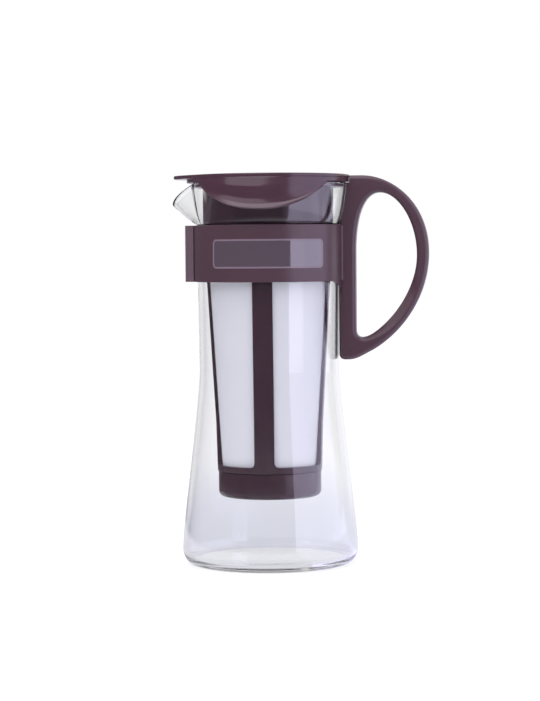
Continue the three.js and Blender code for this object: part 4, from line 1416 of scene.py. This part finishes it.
def by_way_of_light(tree, bounces, coords, kind, dull, mirrored, seen):
    """Joins what dull, mirrored and straight light find. Light mirrored twice finds a plain grey."""
    undulled, unmirrored, in_wall, strayed = light_kinds(tree, bounces)
    mirrored = blend_colors(tree, strayed, mirrored, STRAYED_COLOR)
    straight_on = number_node(tree, "MULTIPLY", in_wall, toward(tree, coords, *STRAIGHT_WEDGE))
    straight = number_node(tree, "MAXIMUM", unmirrored, straight_on)
    found = mix_shaders(tree, undulled, dull, shine(tree, kind, mirrored))
    return mix_shaders(tree, straight, found, shine(tree, kind, seen))


print("light is told apart by", NO_BOUNCE, ONE_BOUNCE, "and", ONE_WALL, "bounces")

# %% Lay the floor
FLOOR_REACH = 6
FLOOR_SIDES = 96
FLOOR_DROP = 0.2 * MM
floor_edge = arc((0, 0), FLOOR_REACH, 0, 2 * math.pi, FLOOR_SIDES)[:-1]
floor_mesh = bpy.data.meshes.new("floor")
floor_mesh.from_pydata([(x, y, -FLOOR_DROP) for x, y in floor_edge], [], [tuple(range(FLOOR_SIDES))])
floor_material = bpy.data.materials.new("floor")
floor_mesh.materials.append(floor_material)
link_mesh("floor", floor_mesh)
print("floor reaches", FLOOR_REACH, "m")

# %% Draw what the floor shows
# Wedges are (middle, half width, softness) in degrees, and fades are (start, end) in metres from the pot
FLOOR_TINTS = ((0.9, 0.9, 0.91), (0.92, 0.92, 0.93))
FLOOR_CLOUDS = (300 * MM, 2)
WHITE_STRENGTH, WHITE_SHARE = 1.1, 0.75
# Seen through the glass, the floor right under the jug glows darker: a painted shadow.
PAINTED_SHADOW_UNDER_JUG, PAINTED_SHADOW_FADE = (0.62, 0.63, 0.70), (0.04, 0.055)
# Seen through the glass, the floor near the pot glows in a painted lilac shade that fades to white farther
# out.
PAINTED_SHADE_NEAR_POT, PAINTED_SHADE_FADE = (0.75, 0.76, 0.845), (0.12, 0.75)
# In mirrored light the floor glows as a painted reflection: pale near the pot, and brighter than white toward
# the back, the right and the far side. Before the right lamp a painted pool of light lies.
PAINTED_GLOW_NEAR_POT, NEAR_FADE = (0.75, 0.73, 0.78), (0.2, 0.34)
PAINTED_GLOW_BACK, BACK_WEDGE = (0.85, 0.85, 0.98), (160, 45, 5)
PAINTED_GLOW_SIDE, SIDE_WEDGE = (1.1, 1.05, 1.4), (81.5, 43.5, 2)
PAINTED_GLOW_FAR, FAR_WEDGE, FAR_FADE = (1.6, 1.55, 2.05), (94, 31, 2), (0.5, 0.55)
LAMP_WEDGE, LAMP_FADE = (60, 22, 2), (1.3, 1.28)

floor_material.use_nodes = True
tree = floor_material.node_tree
tree.nodes.remove(tree.nodes["Principled BSDF"])
bounces = add_node(tree, "ShaderNodeLightPath").outputs
coords = add_node(tree, "ShaderNodeTexCoord").outputs["Object"]
grain = blend_colors(tree, noise(tree, *FLOOR_CLOUDS), *FLOOR_TINTS)
lit = add_node(tree, "ShaderNodeBsdfDiffuse", {"Color": grain}).outputs[0]
seen = blend_colors(tree, distance_fade(tree, coords, *PAINTED_SHADE_FADE), PAINTED_SHADE_NEAR_POT, WHITE)
seen = blend_colors(tree, distance_fade(tree, coords, *PAINTED_SHADOW_FADE), PAINTED_SHADOW_UNDER_JUG, seen)
lamp_fade = distance_fade(tree, coords, *LAMP_FADE)
painted_pool_before_lamp = number_node(tree, "MULTIPLY", toward(tree, coords, *LAMP_WEDGE), lamp_fade)
painted_glow_far_side = number_node(tree, "MAXIMUM", toward(tree, coords, *FAR_WEDGE), painted_pool_before_lamp)
painted_glow_far_side = number_node(tree, "MULTIPLY", painted_glow_far_side, distance_fade(tree, coords, *FAR_FADE))
mirrored = blend_colors(tree, distance_fade(tree, coords, *NEAR_FADE), PAINTED_GLOW_NEAR_POT, ROOM_COLOR)
for mask, color in ((toward(tree, coords, *BACK_WEDGE), PAINTED_GLOW_BACK),
                    (toward(tree, coords, *SIDE_WEDGE), PAINTED_GLOW_SIDE), (painted_glow_far_side, PAINTED_GLOW_FAR)):
    mirrored = blend_colors(tree, mask, mirrored, color)
base = by_way_of_light(tree, bounces, coords, "ShaderNodeEmission", lit, mirrored, seen)
to_camera = mix_shaders(tree, WHITE_SHARE, lit, shine(tree, "ShaderNodeEmission", WHITE, WHITE_STRENGTH))
base = mix_shaders(tree, bounces["Is Camera Ray"], base, to_camera)
tree.links.new(base, tree.nodes["Material Output"].inputs["Surface"])
print("floor finish:", len(tree.nodes), "nodes")

# %% [markdown]
# The world gives even light for the dull surfaces. Its reflection is drawn apart: dim in front, white
# behind the pot, and a bright wall on the right, which lights the right side of the strainer's cup.

# %% Build the world
SKY_COLOR, SKY_STRENGTH = (0.93, 0.94, 1.0), 1.05
LEFT_COLOR, LEFT_WEDGE = (0.14, 0.12, 0.15), (-129, 64, 5)
WALL_COLOR, WALL_WEDGE = (1.5, 1.45, 1.95), (90, 26, 0.7)
BACKDROP_WEDGE = (186, 13, 4)
BEHIND_RANGE = (-0.1, 0.5)

world = bpy.data.worlds.new("studio")
bpy.context.scene.world = world
world.use_nodes = True
tree = world.node_tree
tree.nodes.clear()
bounces = add_node(tree, "ShaderNodeLightPath").outputs
coords = add_node(tree, "ShaderNodeTexCoord").outputs["Generated"]
split = add_node(tree, "ShaderNodeSeparateXYZ", {0: coords}).outputs
behind = remap(tree, split["Y"], *BEHIND_RANGE, shape="SMOOTHSTEP")
room = blend_colors(tree, toward(tree, coords, *LEFT_WEDGE), WHITE, LEFT_COLOR)
room = blend_colors(tree, behind, ROOM_COLOR, room)
for wedge, color in ((BACKDROP_WEDGE, WHITE), (WALL_WEDGE, WALL_COLOR)):
    room = blend_colors(tree, toward(tree, coords, *wedge), room, color)
sky = shine(tree, "ShaderNodeBackground", SKY_COLOR, SKY_STRENGTH)
mixed = by_way_of_light(tree, bounces, coords, "ShaderNodeBackground", sky, room, WHITE)
add_node(tree, "ShaderNodeOutputWorld", {"Surface": mixed})
print("world:", len(tree.nodes), "nodes")

# %% Hang the softboxes
POT_MIDDLE = 0.12
RIGHT_HEIGHT = 0.853


def softbox(name, azimuth, distance, height, size, radiance, color, aim=POT_MIDDLE):
    """A rectangular lamp that faces the axis at the height of aim. A radiance of 1 is as bright as white."""
    lamp = bpy.data.lights.new(name, "AREA")
    lamp.shape = "RECTANGLE"
    lamp.size, lamp.size_y = size
    lamp.energy = radiance * size[0] * size[1] * math.pi
    lamp.color = color
    obj = bpy.data.objects.new(name, lamp)
    bpy.context.scene.collection.objects.link(obj)
    around = math.radians(azimuth)
    place = Vector((distance * math.sin(around), -distance * math.cos(around), height))
    facing = (Vector((0, 0, aim)) - place).to_track_quat("-Z", "Y")
    obj.matrix_world = Matrix.Translation(place) @ facing.to_matrix().to_4x4()
    print(f"{name}: {lamp.energy:.1f} W")


softbox("softbox_right", azimuth=51, distance=1.3, height=RIGHT_HEIGHT, size=(0.55, 1.685), radiance=1.9,
        color=(0.79, 0.75, 1.0), aim=RIGHT_HEIGHT)
softbox("softbox_left", azimuth=-30, distance=1.0, height=1.05, size=(1.3, 1.1), radiance=1.5,
        color=(1.0, 0.96, 1.0))
softbox("softbox_top", azimuth=-20, distance=0.3, height=1.3, size=(0.8, 0.7), radiance=3.0,
        color=(1.0, 0.95, 1.0))

# %% Let the light find its way out of the glass
LIGHT_BOUNCES = 24
for kind in ("max_bounces", "glossy_bounces", "transmission_bounces"):
    setattr(bpy.context.scene.cycles, kind, LIGHT_BOUNCES)
print("light bounces:", LIGHT_BOUNCES)
